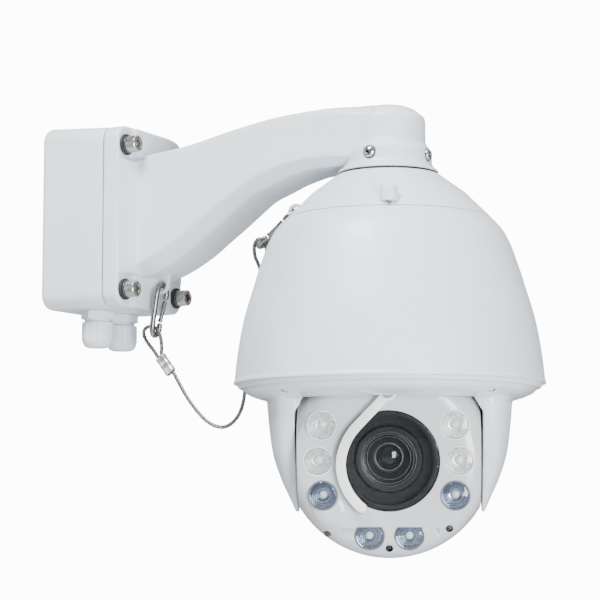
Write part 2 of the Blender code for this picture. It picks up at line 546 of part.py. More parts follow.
face = head_solid("face_plate", FRONT + [(0, 10.3)], HEAD_HALF, FACE, cutter=False)
cut(face, head_solid("face_room", FRONT_IN + [(0, 5)], HEAD_HALF - 2.6))
cut(face, rod("window_hole", (0, 0, 30), (0, 0, 80), 36.4, None, HEAD, cutter=True, segs=28))
LEDS = [(-47, 25.5), (-50, 0), (-47, -24.8), (47, 25.5), (50, 0), (47, -24.8)]
LOW_LEDS = [(-14.2, -54.3), (14.2, -54.3)]
for i, (x, u) in enumerate(LEDS, 1):
    cut(face, rod(f"led_hole_{i}", (x, u, 40), (x, u, 80), 10.9, None, HEAD, cutter=True, segs=16))
    turned(f"led_lens_{i}", [(0, 60.6), (5, 60.5), (9.4, 59.9), (10.5, 58.8), (10.5, 52.1), (0, 52.1)], LENS,
           HEAD @ at(x, u, 0), "tilt", segs=22)
for i, (x, u) in enumerate(LOW_LEDS, 7):
    cut(face, rod(f"led_hole_{i}", (x, u, 40), (x, u, 80), 10.9, None, HEAD, cutter=True, segs=16))
    turned(f"led_lens_{i}", [(0, 56.6), (5, 56.5), (9.4, 55.9), (10.5, 54.8), (10.5, 52.1), (0, 52.1)], LENS,
           HEAD @ at(x, u, 0), "tilt", segs=22)
SCREWS = [(0, -63.5, 45), (-44.3, -54.0, 45), (42.8, -49.5, 45)]
for i, (x, u, d) in enumerate(SCREWS, 1):
    cut(face, rod(f"face_screw_hole_{i}", (x, u, 30), (x, u, 80), 2.6, None, HEAD, cutter=True, segs=12))
    turned(f"face_screw_{i}", [(0, d + 3), (2.2, d + 2.6), (2.2, d - 2), (1.5, d - 2), (1.5, d - 34.0), (0, d - 34.0)], DARK,
           HEAD @ at(x, u, 0), "tilt", segs=12)
cut(face, rod("wiper_shaft_hole", (0, WIPER_U, 40), (0, WIPER_U, 80), 3.4, None, HEAD, cutter=True, segs=12))

rear = head_solid("rear_shell", [(0, 9.9)] + REAR, HEAD_HALF, WHITE, cutter=False)
cut(rear, head_solid("rear_room", [(0, 15)] + REAR_IN, HEAD_HALF - 2.6))
cut(rear, rod("shaft_bore", (55, 0, 0), (80, 0, 0), 6.9, None, HEAD, cutter=True, segs=14))
stub = rod("tilt_stub", (-63.5, 0, 0), (-78, 0, 0), 6.6, None, HEAD, cutter=True, segs=14)
boolean(rear, stub, "UNION")

turned("window", [(0, 60.3), (35.3, 60.3), (36.0, 59.6), (36.0, 57.0), (0, 57.0)], GLASS, HEAD, "tilt", segs=28)
cam = block("zoom_camera", (-24, -26, -48), (24, 26, 22), DARK, HEAD, "tilt", rounds=[("z", 3, 2)])
boolean(cam, turned("lens_barrel", [(0, 44), (15.5, 44), (17.5, 52.5), (24, 52.5), (24.5, 51.5), (24.5, 20), (0, 20)], None,
                    HEAD, segs=24, cutter=True), "UNION")
lb = turned("led_board", [(63.0, 51.8), (63.0, 50.2), (37.6, 50.2), (37.6, 51.8)], PCB, HEAD, "tilt", segs=28)
boolean(lb, block("led_board_slice", (-61.5, -70, 40), (61.5, 42, 60), None, HEAD, cutter=True), "INTERSECT")
for i in (1, 2, 3):
    cut(lb, rod(f"board_screw_hole_{i}", (SCREWS[i - 1][0], SCREWS[i - 1][1], 40), (SCREWS[i - 1][0], SCREWS[i - 1][1], 60), 4,
                None, HEAD, cutter=True, segs=12))
shaft = turned("tilt_shaft", [(0, 79.0), (14, 79.0), (14, 73.8), (6.5, 73.8), (6.5, 62.5), (10, 62.5), (10, 60), (0, 60)], ALU,
               HEAD @ ALONG_X, "tilt", segs=16)
turned("wiper_motor", [(0, 55.4), (6.2, 55.4), (6.2, 30), (0, 30)], DARK, HEAD @ at(0, WIPER_U, 0), "tilt", segs=12)

# ---------------------------------------------------------------- wiper
WIPER = HEAD @ at(0, WIPER_U, 0)
WP = [(0, 0), (-7, -8.5), (-16.5, -18.4), (-27.5, -31.2), (-33.2, -46.5), (-32.8, -60), (-28.5, -71.3), (-22.6, -79.3),
      (-17.0, -84.3)]


def ribbon(points, half, n):
    path = [Vector((x, y)) for x, y, _ in smooth_path([(x, y, 0) for x, y in points], n)]
    left, right = [], []
    for i, p in enumerate(path):
        t = (path[min(i + 1, n - 1)] - path[max(i - 1, 0)]).normalized()
        side = Vector((-t.y, t.x)) * half
        left.append(tuple(p + side))
        right.append(tuple(p - side))
    return left + right[::-1]


wa = slab("wiper_arm", ribbon(WP, 3.6, 22), 63.2, 66.6, FACE, WIPER, "tilt")
hubm = turned("wiper_hub", [(0, 67.0), (5.0, 67.0), (6.1, 65.9), (6.1, 61.6), (0, 61.6)], None, WIPER, segs=14, cutter=True)
boolean(wa, hubm, "UNION")
boolean(wa, rod("wiper_spindle", (0, 0, 57.0), (0, 0, 63), 3.0, None, WIPER, cutter=True, segs=14), "UNION")
slab("wiper_blade", ribbon(WP[2:], 1.5, 16), 60.9, 62.9, BLADE, WIPER, "tilt")

# ================================================================ safety lanyard
HOOK_LEN = 38.4


def hook_points():
    """Centreline of a sprung hook in its own plane: x across, y up, with the bend that hangs in the eye at y 0."""
    pts = [(7.6, -8.5), (7.9, -5.0), (6.6, -1.2), (3.2, 1.6), (-0.8, 1.9), (-4.4, -0.4), (-6.2, -4.4), (-6.3, -14), (-6.2, -26),
           (-5.6, -33.5), (-3.2, -37.6), (0.4, -HOOK_LEN), (3.6, -36.0), (4.5, -32.6), (4.2, -29.6)]
    return [(p.x, p.y, 0) for p in smooth_path([(x, y, 0) for x, y in pts], 26)]


def hook(n, frame):
    tube(f"snap_hook_{n}", hook_points(), SNAP_W, STEEL, frame, res=1)
    g0 = Vector((4.3, -26.9, 0))
    rod(f"hook_gate_{n}", (0, 0, 0), Vector((7.2, -11.2, 0)) - g0, 1.75, STEEL, frame @ Matrix.Translation(g0 * MM), segs=10)


# the first hook hangs from the lug across the arm, the second from the cap's eye down the slope of the dome
ACROSS = Matrix.Rotation(math.radians(90), 4, "Z") @ Matrix.Rotation(math.radians(90), 4, "X")
EYE_AZ = math.radians(188)
RADIAL = D @ Matrix.Rotation(EYE_AZ, 4, "Z")
hook(1, at(77.6, 0, -52.2) @ Matrix.Rotation(math.radians(9), 4, "Y") @ ACROSS)
hook(2, RADIAL @ at(73.2, 0, -3.6) @ Matrix.Rotation(math.radians(-52), 4, "Y") @ ACROSS)


def on_dome(r, az, z):
    a = math.radians(az)
    return Vector((PAN_X + r * math.cos(a), r * math.sin(a), z))


def ferrule(name, low, high, across_dir):
    """A pressed oval sleeve from low to high, holding two strands side by side along across_dir."""
    axis = (high - low).normalized()
    side = (across_dir - axis * across_dir.dot(axis)).normalized()
    frame = Matrix.Translation((low + high) / 2 * MM) @ Matrix((side, axis.cross(side), axis)).transposed().to_4x4()
    half = (high - low).length / 2

    def stadium(w, r, n=6):
        return arc(w, 0, r, -90, 90, n) + arc(-w, 0, r, 90, 270, n)

    f = slab(name, stadium(1.8, 3.0), -half, half, ALU, frame)
    cut(f, slab(name + "_bore", stadium(1.8, 1.9), -half - 3, half + 3, None, frame, cutter=True))
    return side * 1.8


F1_HIGH, F1_LOW = Vector((77.0, -0.8, -107.4)), Vector((87.3, -0.8, -120.5))
F2_HIGH, F2_LOW = on_dome(106.3, 180.5, -56), on_dome(110.0, 180, -71)
s1 = ferrule("lanyard_ferrule_1", F1_LOW, F1_HIGH, Vector((0.786, 0, 0.618)))
s2 = ferrule("lanyard_ferrule_2", F2_LOW, F2_HIGH, Vector((-1, 0, 0)))
EYE1 = [(71.2, -102.6), (64.9, -95.4), (61.6, -89.6), (62.4, -85.0), (66.6, -83.0), (71.6, -84.0), (75.4, -87.6), (77.4, -93.0),
        (78.3, -100.0)]
EYE2 = [(106.8, 183, -44), (108.9, 185.6, -34), (107.6, 187.6, -25.6), (103.4, 188, -21.6), (98.9, 188, -24.2), (97.8, 187.6, -31),
        (100.6, 185, -42), (103.2, 182.6, -50)]
route = ([F1_LOW - s1 + (F1_HIGH - F1_LOW) * 0.06, (F1_LOW + F1_HIGH) / 2 - s1, F1_HIGH - s1]
         + [Vector((x, -0.8, z)) for x, z in EYE1]
         + [F1_HIGH + s1, (F1_LOW + F1_HIGH) / 2 + s1, F1_LOW + s1]
         + [Vector(p) for p in ((103.6, -1.5, -141.7), (119.8, -2.5, -158.3), (133.8, -3, -164.2), (144.6, -3.6, -161), (152.0, -4, -152.2))]
         + [on_dome(*p) for p in ((121.0, 182, -139.8), (120.6, 182, -125), (118.0, 181.4, -108), (114.2, 180.6, -90))]
         + [F2_LOW + s2, (F2_LOW + F2_HIGH) / 2 + s2, F2_HIGH + s2]
         + [on_dome(*p) for p in EYE2]
         + [F2_HIGH - s2, (F2_LOW + F2_HIGH) / 2 - s2, F2_LOW - s2 + (F2_HIGH - F2_LOW) * 0.06])
tube("lanyard_rope", smooth_path(route, 96), ROPE_D, ROPE, res=1)

# the wall face is the frame's origin, so everything moves out by the part of the box behind it
SHIFT = at(-BOX_REAR, 0, 0)
bpy.context.view_layer.update()
for o in bpy.data.objects:
    if o.parent is None:
        o.matrix_world = SHIFT @ o.matrix_world
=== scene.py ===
"""Looks for the PTZ dome camera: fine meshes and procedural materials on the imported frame.

Every length below is in millimetres with +X out along the arm and +Z up. The box reaches 7 mm behind
X 0, so add_object moves each mesh out by that much: the row frame starts at the wall face.
"""

import json  # noqa: E402
import math  # noqa: E402

import bmesh  # noqa: E402
import bpy  # noqa: E402
from mathutils import Matrix, Vector  # noqa: E402

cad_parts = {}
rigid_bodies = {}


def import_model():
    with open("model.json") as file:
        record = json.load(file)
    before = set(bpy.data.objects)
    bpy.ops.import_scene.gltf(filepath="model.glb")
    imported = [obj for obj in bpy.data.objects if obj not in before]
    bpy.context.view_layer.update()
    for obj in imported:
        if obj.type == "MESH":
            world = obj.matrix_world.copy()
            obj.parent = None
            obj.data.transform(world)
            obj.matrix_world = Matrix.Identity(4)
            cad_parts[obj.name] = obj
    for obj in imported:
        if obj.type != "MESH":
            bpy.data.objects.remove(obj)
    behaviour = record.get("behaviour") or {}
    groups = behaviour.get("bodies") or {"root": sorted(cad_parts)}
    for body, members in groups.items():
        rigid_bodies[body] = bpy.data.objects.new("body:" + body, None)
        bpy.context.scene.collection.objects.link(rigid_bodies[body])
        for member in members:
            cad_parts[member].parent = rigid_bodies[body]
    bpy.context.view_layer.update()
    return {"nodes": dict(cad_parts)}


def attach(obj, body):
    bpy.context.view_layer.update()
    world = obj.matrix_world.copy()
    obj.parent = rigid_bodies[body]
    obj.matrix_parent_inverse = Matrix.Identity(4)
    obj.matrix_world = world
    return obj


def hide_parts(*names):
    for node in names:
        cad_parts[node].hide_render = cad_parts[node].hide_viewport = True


for old in list(bpy.data.objects):
    bpy.data.objects.remove(old)
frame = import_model()
NODES = frame["nodes"]

MM = 0.001
PAN_X, TILT_Z, RIM_Z = 276.5, -182.0, -135.6
HEAD_AZ, TILT_REST = math.radians(24.5), math.radians(11.0)
WORLD = Matrix.Identity(4)
BEHIND = 7.0
SHIFT = Matrix.Translation((BEHIND * MM, 0, 0))


def T(x, y, z):
    return Matrix.Translation(Vector((x, y, z)) * MM)


def RX(d):
    return Matrix.Rotation(math.radians(d), 4, "X")


def RY(d):
    return Matrix.Rotation(math.radians(d), 4, "Y")


def RZ(d):
    return Matrix.Rotation(math.radians(d), 4, "Z")


PAN = T(PAN_X, 0, 0) @ RZ(24.5)
TILT = PAN @ T(0, 0, TILT_Z) @ RX(11)
HEAD = TILT @ RX(90)
D = T(PAN_X, 0, 0)
ALONG_X = RY(90)
scene = bpy.context.scene


# ================================================================ materials
class Nodes:
    """A small wrapper that adds shader nodes and links them."""

    def __init__(self, name):
        self.m = bpy.data.materials.new(name)
        self.m.use_nodes = True
        self.t = self.m.node_tree
        self.b = self.t.nodes["Principled BSDF"]
        self.out = self.t.nodes["Material Output"]

    def add(self, kind, **inputs):
        n = self.t.nodes.new(kind)
        for k, v in inputs.items():
            if hasattr(n, k) and not k[0].isupper():
                setattr(n, k, v)
            else:
                n.inputs[k.replace("_", " ")].default_value = v
        return n

    def link(self, a, out, b, inp):
        self.t.links.new(a.outputs[out], b.inputs[inp])

    def coords(self):
        return self.add("ShaderNodeTexCoord")

    def noise(self, scale, detail=3.0, rough=0.5, stretch=None):
        n = self.add("ShaderNodeTexNoise", Scale=scale, Detail=detail, Roughness=rough)
        c = self.coords()
        if stretch:
            mp = self.add("ShaderNodeMapping")
            mp.inputs["Scale"].default_value = stretch
            self.link(c, "Object", mp, "Vector")
            self.link(mp, "Vector", n, "Vector")
        else:
            self.link(c, "Object", n, "Vector")
        return n

    def ramp(self, src, out, stops):
        r = self.add("ShaderNodeValToRGB")
        cr = r.color_ramp
        while len(cr.elements) < len(stops):
            cr.elements.new(0.5)
        for e, (p, c) in zip(cr.elements, stops):
            e.position = p
            e.color = (*c, 1.0) if len(c) == 3 else c
        self.link(src, out, r, "Fac")
        return r

    def remap(self, src, out, lo, hi, frm=(0.3, 0.7)):
        n = self.add("ShaderNodeMapRange")
        n.inputs["From Min"].default_value, n.inputs["From Max"].default_value = frm
        n.inputs["To Min"].default_value, n.inputs["To Max"].default_value = lo, hi
        self.link(src, out, n, "Value")
        return n

    def mix(self, fac, a, b, blend="MIX"):
        """a and b are (node, output) pairs or colours; fac is a (node, output) pair or a number."""
        n = self.add("ShaderNodeMix")
        n.data_type = "RGBA"
        n.blend_type = blend
        for sock, v in ((0, fac), (6, a), (7, b)):
            if isinstance(v, tuple) and isinstance(v[0], bpy.types.Node):
                self.t.links.new(v[0].outputs[v[1]], n.inputs[sock])
            elif sock == 0:
                n.inputs[0].default_value = v
            else:
                n.inputs[sock].default_value = (*v, 1.0)
        return n

    def bump(self, layers):
        """layers: (node, output, strength, distance in metres), laid one on the other."""
        last = None
        for node, out, strength, dist in layers:
            b = self.add("ShaderNodeBump", Strength=strength, Distance=dist)
            self.link(node, out, b, "Height")
            if last:
                self.link(last, "Normal", b, "Normal")
            last = b
        self.link(last, "Normal", self.b, "Normal")


def paint(name, color, rough=0.36, peel=0.12, edge_shade=0.35, coat=0.25, cast=0.05):
    """Powder coat or sprayed paint: fine orange peel over slight casting waves, a breath of colour change,
    edges a touch lighter as painted highlight and hollows a touch darker as painted shade, both from pointiness."""
    k = Nodes(name)
    big, mid = k.noise(14, 3, 0.55), k.noise(90, 4, 0.6)
    peel_n = k.noise(900, 2, 0.45)
    cast_n = k.noise(38, 2, 0.4)
    dark = tuple(c * 0.965 for c in color)
    tone = k.ramp(big, "Fac", [(0.32, dark), (0.68, color)])
    dust = k.ramp(mid, "Fac", [(0.30, (0.93, 0.925, 0.915)), (0.62, (1, 1, 1))])
    both = k.mix(0.35, (tone, "Color"), (dust, "Color"), "MULTIPLY")
    # painted light: pointiness darkens hollows (painted shade) and lightens convex edges (painted highlight)
    geo = k.add("ShaderNodeNewGeometry")
    edge = k.ramp(geo, "Pointiness", [(0.44, (0.80, 0.80, 0.80)), (0.50, (1, 1, 1)), (0.56, (1.06, 1.06, 1.06))])
    pointiness_shaded = k.mix(edge_shade, (both, 2), (edge, "Color"), "MULTIPLY")
    k.t.links.new(pointiness_shaded.outputs[2], k.b.inputs["Base Color"])
    r = k.remap(mid, "Fac", rough - 0.05, rough + 0.07)
    k.link(r, "Result", k.b, "Roughness")
    k.bump([(cast_n, "Fac", cast, 0.004), (peel_n, "Fac", peel, 0.0004)])
    k.b.inputs["Coat Weight"].default_value = coat
    k.b.inputs["Coat Roughness"].default_value = 0.18
    k.b.inputs["IOR"].default_value = 1.5
    return k.m


def moulded(name, color, rough=0.45, grain=0.15, scale=1600, spec=0.5):
    k = Nodes(name)
    a, g = k.noise(55, 3, 0.6), k.noise(scale, 2, 0.5)
    tone = k.ramp(a, "Fac", [(0.3, tuple(c * 0.88 for c in color)), (0.7, color)])
    k.link(tone, "Color", k.b, "Base Color")
    r = k.remap(a, "Fac", rough - 0.06, rough + 0.08)
    k.link(r, "Result", k.b, "Roughness")
    if grain:
        k.bump([(g, "Fac", grain, 0.00008)])
    k.b.inputs["Specular IOR Level"].default_value = spec
    return k.m


def metal(name, color, rough=0.22, stretch=(1, 1, 1), scratch=0.10, scale=260, hollow_shade=0.0):
    """Bare metal with fine machining lines along the stretched direction and mottled roughness; hollows darkened and
    edges lightened by pointiness as painted shade and highlight.
    """
    k = Nodes(name)
    lines = k.noise(scale, 5, 0.65, stretch)
    blot = k.noise(120, 3, 0.6)
    tone = k.ramp(blot, "Fac", [(0.28, tuple(c * 0.80 for c in color)), (0.65, color)])
    # painted light: pointiness darkens hollows (painted shade) and lightens convex edges (painted highlight)
    geo = k.add("ShaderNodeNewGeometry")
    edge = k.ramp(geo, "Pointiness", [(0.42, (0.35, 0.34, 0.33)), (0.50, (1, 1, 1)), (0.58, (1.12, 1.12, 1.12))])
    mixed = k.mix(0.35 + hollow_shade, (tone, "Color"), (edge, "Color"), "MULTIPLY")
    k.t.links.new(mixed.outputs[2], k.b.inputs["Base Color"])
    k.b.inputs["Metallic"].default_value = 1.0
    r = k.remap(lines, "Fac", rough - 0.07, rough + 0.13)
    k.link(r, "Result", k.b, "Roughness")
    k.bump([(lines, "Fac", scratch, 0.0003)])
    return k.m


def rubber(name, color=(0.014, 0.014, 0.015)):
    k = Nodes(name)
    a, g = k.noise(140, 4, 0.6), k.noise(1400, 2, 0.5)
    tone = k.ramp(a, "Fac", [(0.3, color), (0.75, tuple(c * 2.1 + 0.006 for c in color))])
    k.link(tone, "Color", k.b, "Base Color")
    r = k.remap(a, "Fac", 0.55, 0.8)
    k.link(r, "Result", k.b, "Roughness")
    k.bump([(g, "Fac", 0.25, 0.0003)])
    return k.m


def board_mat(name):
    """Solder mask with a fine grid of tracks."""
    k = Nodes(name)
    c = k.coords()
    v = k.add("ShaderNodeTexVoronoi", Scale=420.0)
    v.distance = "CHEBYCHEV"
    k.link(c, "Object", v, "Vector")
    tracks = k.ramp(v, "Distance", [(0.10, (0.020, 0.16, 0.06)), (0.16, (0.012, 0.10, 0.04)), (0.55, (0.015, 0.12, 0.05))])
    k.link(tracks, "Color", k.b, "Base Color")
    r = k.remap(v, "Distance", 0.30, 0.5, (0, 0.6))
    k.link(r, "Result", k.b, "Roughness")
    k.bump([(v, "Distance", 0.2, 0.0002)])
    return k.m


def thin_glass(name, tint, shine_rough=0.02, ior=1.5, ripple=0.0):
    """A thin clear sheet: what lies behind shows straight through, with reflections by Fresnel."""
    k = Nodes(name)
    t = k.add("ShaderNodeBsdfTransparent", Color=(*tint, 1.0))
    g = k.add("ShaderNodeBsdfGlossy", Roughness=shine_rough)
    f = k.add("ShaderNodeFresnel", IOR=ior)
    n = k.noise(60 if not ripple else 380, 2, 0.5)
    b = k.add("ShaderNodeBump", Strength=max(ripple, 0.02), Distance=0.0004)
    k.link(n, "Fac", b, "Height")
    k.link(b, "Normal", g, "Normal")
    mx = k.add("ShaderNodeMixShader")
    k.link(f, "Fac", mx, 0)
    k.link(t, "BSDF", mx, 1)
    k.link(g, "BSDF", mx, 2)
    k.link(mx, "Shader", k.out, "Surface")
    return k.m


def reflector_mat(name, color, rough, metallic):
    """Bright-plated cup with a faint mottled haze."""
    k = Nodes(name)
    a = k.noise(420, 3, 0.5)
    tone = k.ramp(a, "Fac", [(0.3, tuple(c * 0.86 for c in color)), (0.7, color)])
    k.link(tone, "Color", k.b, "Base Color")
    k.b.inputs["Metallic"].default_value = metallic
    r = k.remap(a, "Fac", rough * 0.7, rough * 1.4)
    k.link(r, "Result", k.b, "Roughness")
    k.bump([(a, "Fac", 0.05, 0.0003)])
    return k.m


def front_lens_mat(name):
    """Coated front element: near-black, with a green and magenta sheen painted into the base colour by the facing
    angle.
    """
    k = Nodes(name)
    painted_sheen_facing = k.add("ShaderNodeLayerWeight", Blend=0.35)
    # painted sheen: the base colour turns green and magenta with the facing angle
    tone = k.ramp(painted_sheen_facing, "Facing", [(0.0, (0.004, 0.006, 0.010)), (0.35, (0.006, 0.030, 0.022)), (0.65, (0.045, 0.012, 0.040)),
                                 (1.0, (0.01, 0.01, 0.02))])
    n = k.noise(300, 2, 0.5)
    both = k.mix(0.10, (tone, "Color"), (n, "Color"), "OVERLAY")
    k.t.links.new(both.outputs[2], k.b.inputs["Base Color"])
    r = k.remap(n, "Fac", 0.01, 0.05)
    k.link(r, "Result", k.b, "Roughness")
    k.b.inputs["Coat Weight"].default_value = 1.0
    k.b.inputs["Coat Roughness"].default_value = 0.01
    k.b.inputs["Specular IOR Level"].default_value = 0.8
    return k.m


COOL = (0.725, 0.782, 0.835)
M_WHITE = paint("white_powder_coat", COOL, 0.40, 0.10, 0.35, 0.15)
# dish lip paint: glossier finish, and a touch darker than the housing white as painted shade
M_DISH_SHADED = paint("white_dish_paint_shaded", (0.715, 0.770, 0.815), 0.22, 0.04, 0.30, 0.4, cast=0.14)
# face plate: the housing white darkened as painted shade, with a glossier coat
M_FACE_SHADED = paint("face_gloss_paint_shaded", (0.590, 0.622, 0.660), 0.20, 0.04, 0.30, 0.45, cast=0.03)
M_WIPER = paint("wiper_paint", (0.93, 0.935, 0.94), 0.34, 0.05, 0.30, 0.2)
M_NYLON = moulded("white_nylon", (0.755, 0.80, 0.850), 0.40, 0.10, 1500, 0.45)
M_STEEL = metal("stainless_wire", (0.30, 0.298, 0.29), 0.2, (1, 1, 1), 0.05, 500)
M_SCREW = metal("stainless_screw", (0.50, 0.485, 0.465), 0.24, (6, 1, 1), 0.12, 300, 0.2)
M_BRIGHT = metal("plated_screw", (0.52, 0.52, 0.53), 0.16, (1, 1, 1), 0.05, 400, 0.2)
M_DARKSTEEL = metal("blackened_steel", (0.16, 0.16, 0.17), 0.34, (1, 1, 1), 0.12, 400)
M_ALU = metal("pressed_aluminium", (0.80, 0.80, 0.82), 0.27, (1, 1, 5), 0.10, 300)
M_TURNED = metal("turned_aluminium", (0.72, 0.72, 0.74), 0.30, (1, 1, 8), 0.12, 300)
M_ROPE = metal("rope_wire", (0.22, 0.217, 0.21), 0.36, (1, 1, 1), 0.12, 700, 0.3)
M_RUBBER = rubber("black_rubber")
M_BLADE = rubber("blade_rubber", (0.02, 0.02, 0.021))
M_BOARD = board_mat("circuit_board")
M_PLASTIC = moulded("black_plastic", (0.022, 0.022, 0.024), 0.45, 0.2)
M_BARREL = moulded("lens_barrel_black", (0.016, 0.016, 0.018), 0.42, 0.0)
M_BAFFLE = moulded("window_baffle", (0.012, 0.012, 0.014), 0.6, 0.0)
M_PIVOT = moulded("pivot_grey", (0.30, 0.31, 0.32), 0.4, 0.1)
M_BLUERING = moulded("lamp_ring_blue_grey", (0.17, 0.20, 0.25), 0.35, 0.05)
M_RING = metal("lens_ring", (0.30, 0.31, 0.32), 0.3, (1, 1, 1), 0.08, 500)
M_WINDOW = thin_glass("window_glass", (0.80, 0.82, 0.83), 0.03, 1.45)
M_COVER = thin_glass("led_cover_clear", (0.985, 0.99, 0.995), 0.05, 1.42, 0.10)
M_COVERBLUE = thin_glass("led_cover_blue", (0.945, 0.970, 0.995), 0.03, 1.48, 0.04)
M_MILKY = reflector_mat("reflector_satin", (0.86, 0.865, 0.87), 0.30, 0.55)
M_CHROME = reflector_mat("reflector_bright", (0.44, 0.50, 0.60), 0.12, 1.0)
M_DIE = reflector_mat("led_dome", (0.95, 0.95, 0.93), 0.2, 0.0)
M_LENS = front_lens_mat("front_element")


# ================================================================ mesh helpers
def finish_mesh(me, angle=35):
    me.shade_smooth()
    me.set_sharp_from_angle(angle=math.radians(angle))


def add_object(name, me, mat=None, body="root", replaces=()):
    me.transform(SHIFT)
    ob = bpy.data.objects.new(name, me)
    scene.collection.objects.link(ob)
    if mat:
        me.materials.clear()
        me.materials.append(mat)
    if body:
        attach(ob, body)
    if replaces:
        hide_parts(*([replaces] if isinstance(replaces, str) else replaces))
    return ob


def fillet(points, radius=0.4, n=4, closed=False):
    """Rounds the corners of a profile. A point is (r, z), or (r, z, radius) for its own radius."""
    out, m = [], len(points)
    for i, p in enumerate(points):
        rad = p[2] if len(p) > 2 else radius
        if rad <= 0 or (not closed and i in (0, m - 1)):
            out.append((p[0], p[1]))
            continue
        a, b, c = Vector(points[i - 1][:2]), Vector(p[:2]), Vector(points[(i + 1) % m][:2])
        u, v = a - b, c - b
        lu, lv = u.length, v.length
        if lu < 1e-6 or lv < 1e-6:
            out.append((p[0], p[1]))
            continue
        u, v = u / lu, v / lv
        ang = math.acos(max(-1, min(1, u.dot(v))))
        if ang > math.radians(176):
            out.append((p[0], p[1]))
            continue
        back = min(rad / math.tan(ang / 2), 0.48 * lu, 0.48 * lv)
        s, e = b + u * back, b + v * back
        for k in range(n + 1):
            t = k / n
            q = s * (1 - t) ** 2 + b * 2 * t * (1 - t) + e * t * t
            out.append((q.x, q.y))
    return out


def turned_mesh(profile, matrix=WORLD, segs=96, ring=None, modulate=None, phase=0.0):
    """A closed solid turned about Z. modulate(angle, r, z) may change the radius."""
    if ring is None:
        ring = profile[0][0] > 1e-6
    bm = bmesh.new()
    rows = []
    for r, z in profile:
        if r < 1e-6:
            rows.append([bm.verts.new((0, 0, z * MM))])
            continue
        row = []
        for k in range(segs):
            a = math.tau * k / segs + phase
            q = modulate(a, r, z) if modulate else r
            row.append(bm.verts.new((q * math.cos(a) * MM, q * math.sin(a) * MM, z * MM)))
        rows.append(row)
    pairs = list(zip(rows, rows[1:]))
    if ring:
        pairs.append((rows[-1], rows[0]))
    for a, b in pairs:
        if len(a) == 1 and len(b) == 1:
            continue
        for k in range(segs):
            j = (k + 1) % segs
            if len(a) == 1:
                bm.faces.new((a[0], b[j], b[k]))
            elif len(b) == 1:
                bm.faces.new((a[k], a[j], b[0]))
            else:
                bm.faces.new((a[k], a[j], b[j], b[k]))
    bmesh.ops.recalc_face_normals(bm, faces=bm.faces)
    bmesh.ops.transform(bm, matrix=matrix, verts=bm.verts)
    me = bpy.data.meshes.new("turned")
    bm.to_mesh(me)
    bm.free()
    return me


def turned(name, profile, mat, matrix=WORLD, body="root", segs=96, replaces=(), slot=None, angle=35, **kw):
    me = turned_mesh(profile, matrix, segs, **kw)
    finish_mesh(me, angle)
    return add_object(name, me, mat, body, replaces)


def loft_mesh(rings, matrix=WORLD, cap=True, closed=False):
    """A skin through rings of equal point counts, closed by flat ends or joined end to end."""
    bm = bmesh.new()
    rows = [[bm.verts.new(Vector(p) * MM) for p in ring] for ring in rings]
    n = len(rows[0])
    pairs = list(zip(rows, rows[1:])) + ([(rows[-1], rows[0])] if closed else [])
    for a, b in pairs:
        for i in range(n):
            bm.faces.new((a[i], a[(i + 1) % n], b[(i + 1) % n], b[i]))
    if cap and not closed:
        bm.faces.new(rows[0])
        bm.faces.new(rows[-1])
    bmesh.ops.recalc_face_normals(bm, faces=bm.faces)
    bmesh.ops.transform(bm, matrix=matrix, verts=bm.verts)
    me = bpy.data.meshes.new("loft")
    bm.to_mesh(me)
    bm.free()
    return me


def box_mesh(lo, hi, matrix=WORLD, bevel=0.0, segs=3):
    bm = bmesh.new()
    bmesh.ops.create_cube(bm, size=1.0)
    for v in bm.verts:
        v.co = Vector([(lo[i] + hi[i]) / 2 + v.co[i] * (hi[i] - lo[i]) for i in range(3)]) * MM
    if bevel:
        bmesh.ops.bevel(bm, geom=list(bm.edges), offset=bevel * MM, segments=segs, profile=0.5, affect="EDGES")
    bmesh.ops.transform(bm, matrix=matrix, verts=bm.verts)
    me = bpy.data.meshes.new("box")
    bm.to_mesh(me)
    bm.free()
    return me


def rod_mesh(p0, p1, radius, matrix=WORLD, segs=48, r2=None):
    a, b = Vector(p0), Vector(p1)
    bm = bmesh.new()
    bmesh.ops.create_cone(bm, cap_ends=True, segments=segs, radius1=radius * MM,
                          radius2=(radius if r2 is None else r2) * MM, depth=(b - a).length * MM)
    m = Matrix.Translation((a + b) / 2 * MM) @ (b - a).to_track_quat("Z", "Y").to_matrix().to_4x4()
    bmesh.ops.transform(bm, matrix=matrix @ m, verts=bm.verts)
    me = bpy.data.meshes.new("rod")
    bm.to_mesh(me)
    bm.free()
    return me


def slab_mesh(outline, z0, z1, matrix=WORLD):
    return loft_mesh([[(x, y, z0) for x, y in outline], [(x, y, z1) for x, y in outline]], matrix)


def temp(me):
    ob = bpy.data.objects.new("temp", me)
    scene.collection.objects.link(ob)
    return ob


def bake(ob):
    """The object's mesh with its modifiers applied; the object is removed."""
    bpy.context.view_layer.update()
    me = bpy.data.meshes.new_from_object(ob.evaluated_get(bpy.context.evaluated_depsgraph_get()))
    bpy.data.objects.remove(ob)
    return me


def merged(meshes):
    bm = bmesh.new()
    for me in meshes:
        bm.from_mesh(me)
    out = bpy.data.meshes.new("merged")
    bm.to_mesh(out)
    bm.free()
    return out


def combine(base, others, op="DIFFERENCE", solver="EXACT"):
    """base with each of the other meshes taken away, or joined on."""
    ob = temp(base)
    tools = []
    for me in others:
        t = temp(me)
        tools.append(t)
        m = ob.modifiers.new("b", "BOOLEAN")
        m.operation, m.solver, m.object = op, solver, t
    me = bake(ob)
    for t in tools:
        bpy.data.objects.remove(t)
    return me


def soften(me, voxel, rounds=4, factor=0.5):
    """A cast skin: remeshed evenly and smoothed, so that every edge and inner corner gets a small radius."""
    ob = temp(me)
    r = ob.modifiers.new("remesh", "REMESH")
    r.mode = "VOXEL"
    r.voxel_size = voxel * MM
    r.adaptivity = 0.0
    s = ob.modifiers.new("smooth", "SMOOTH")
    s.factor, s.iterations = factor, rounds
    return bake(ob)


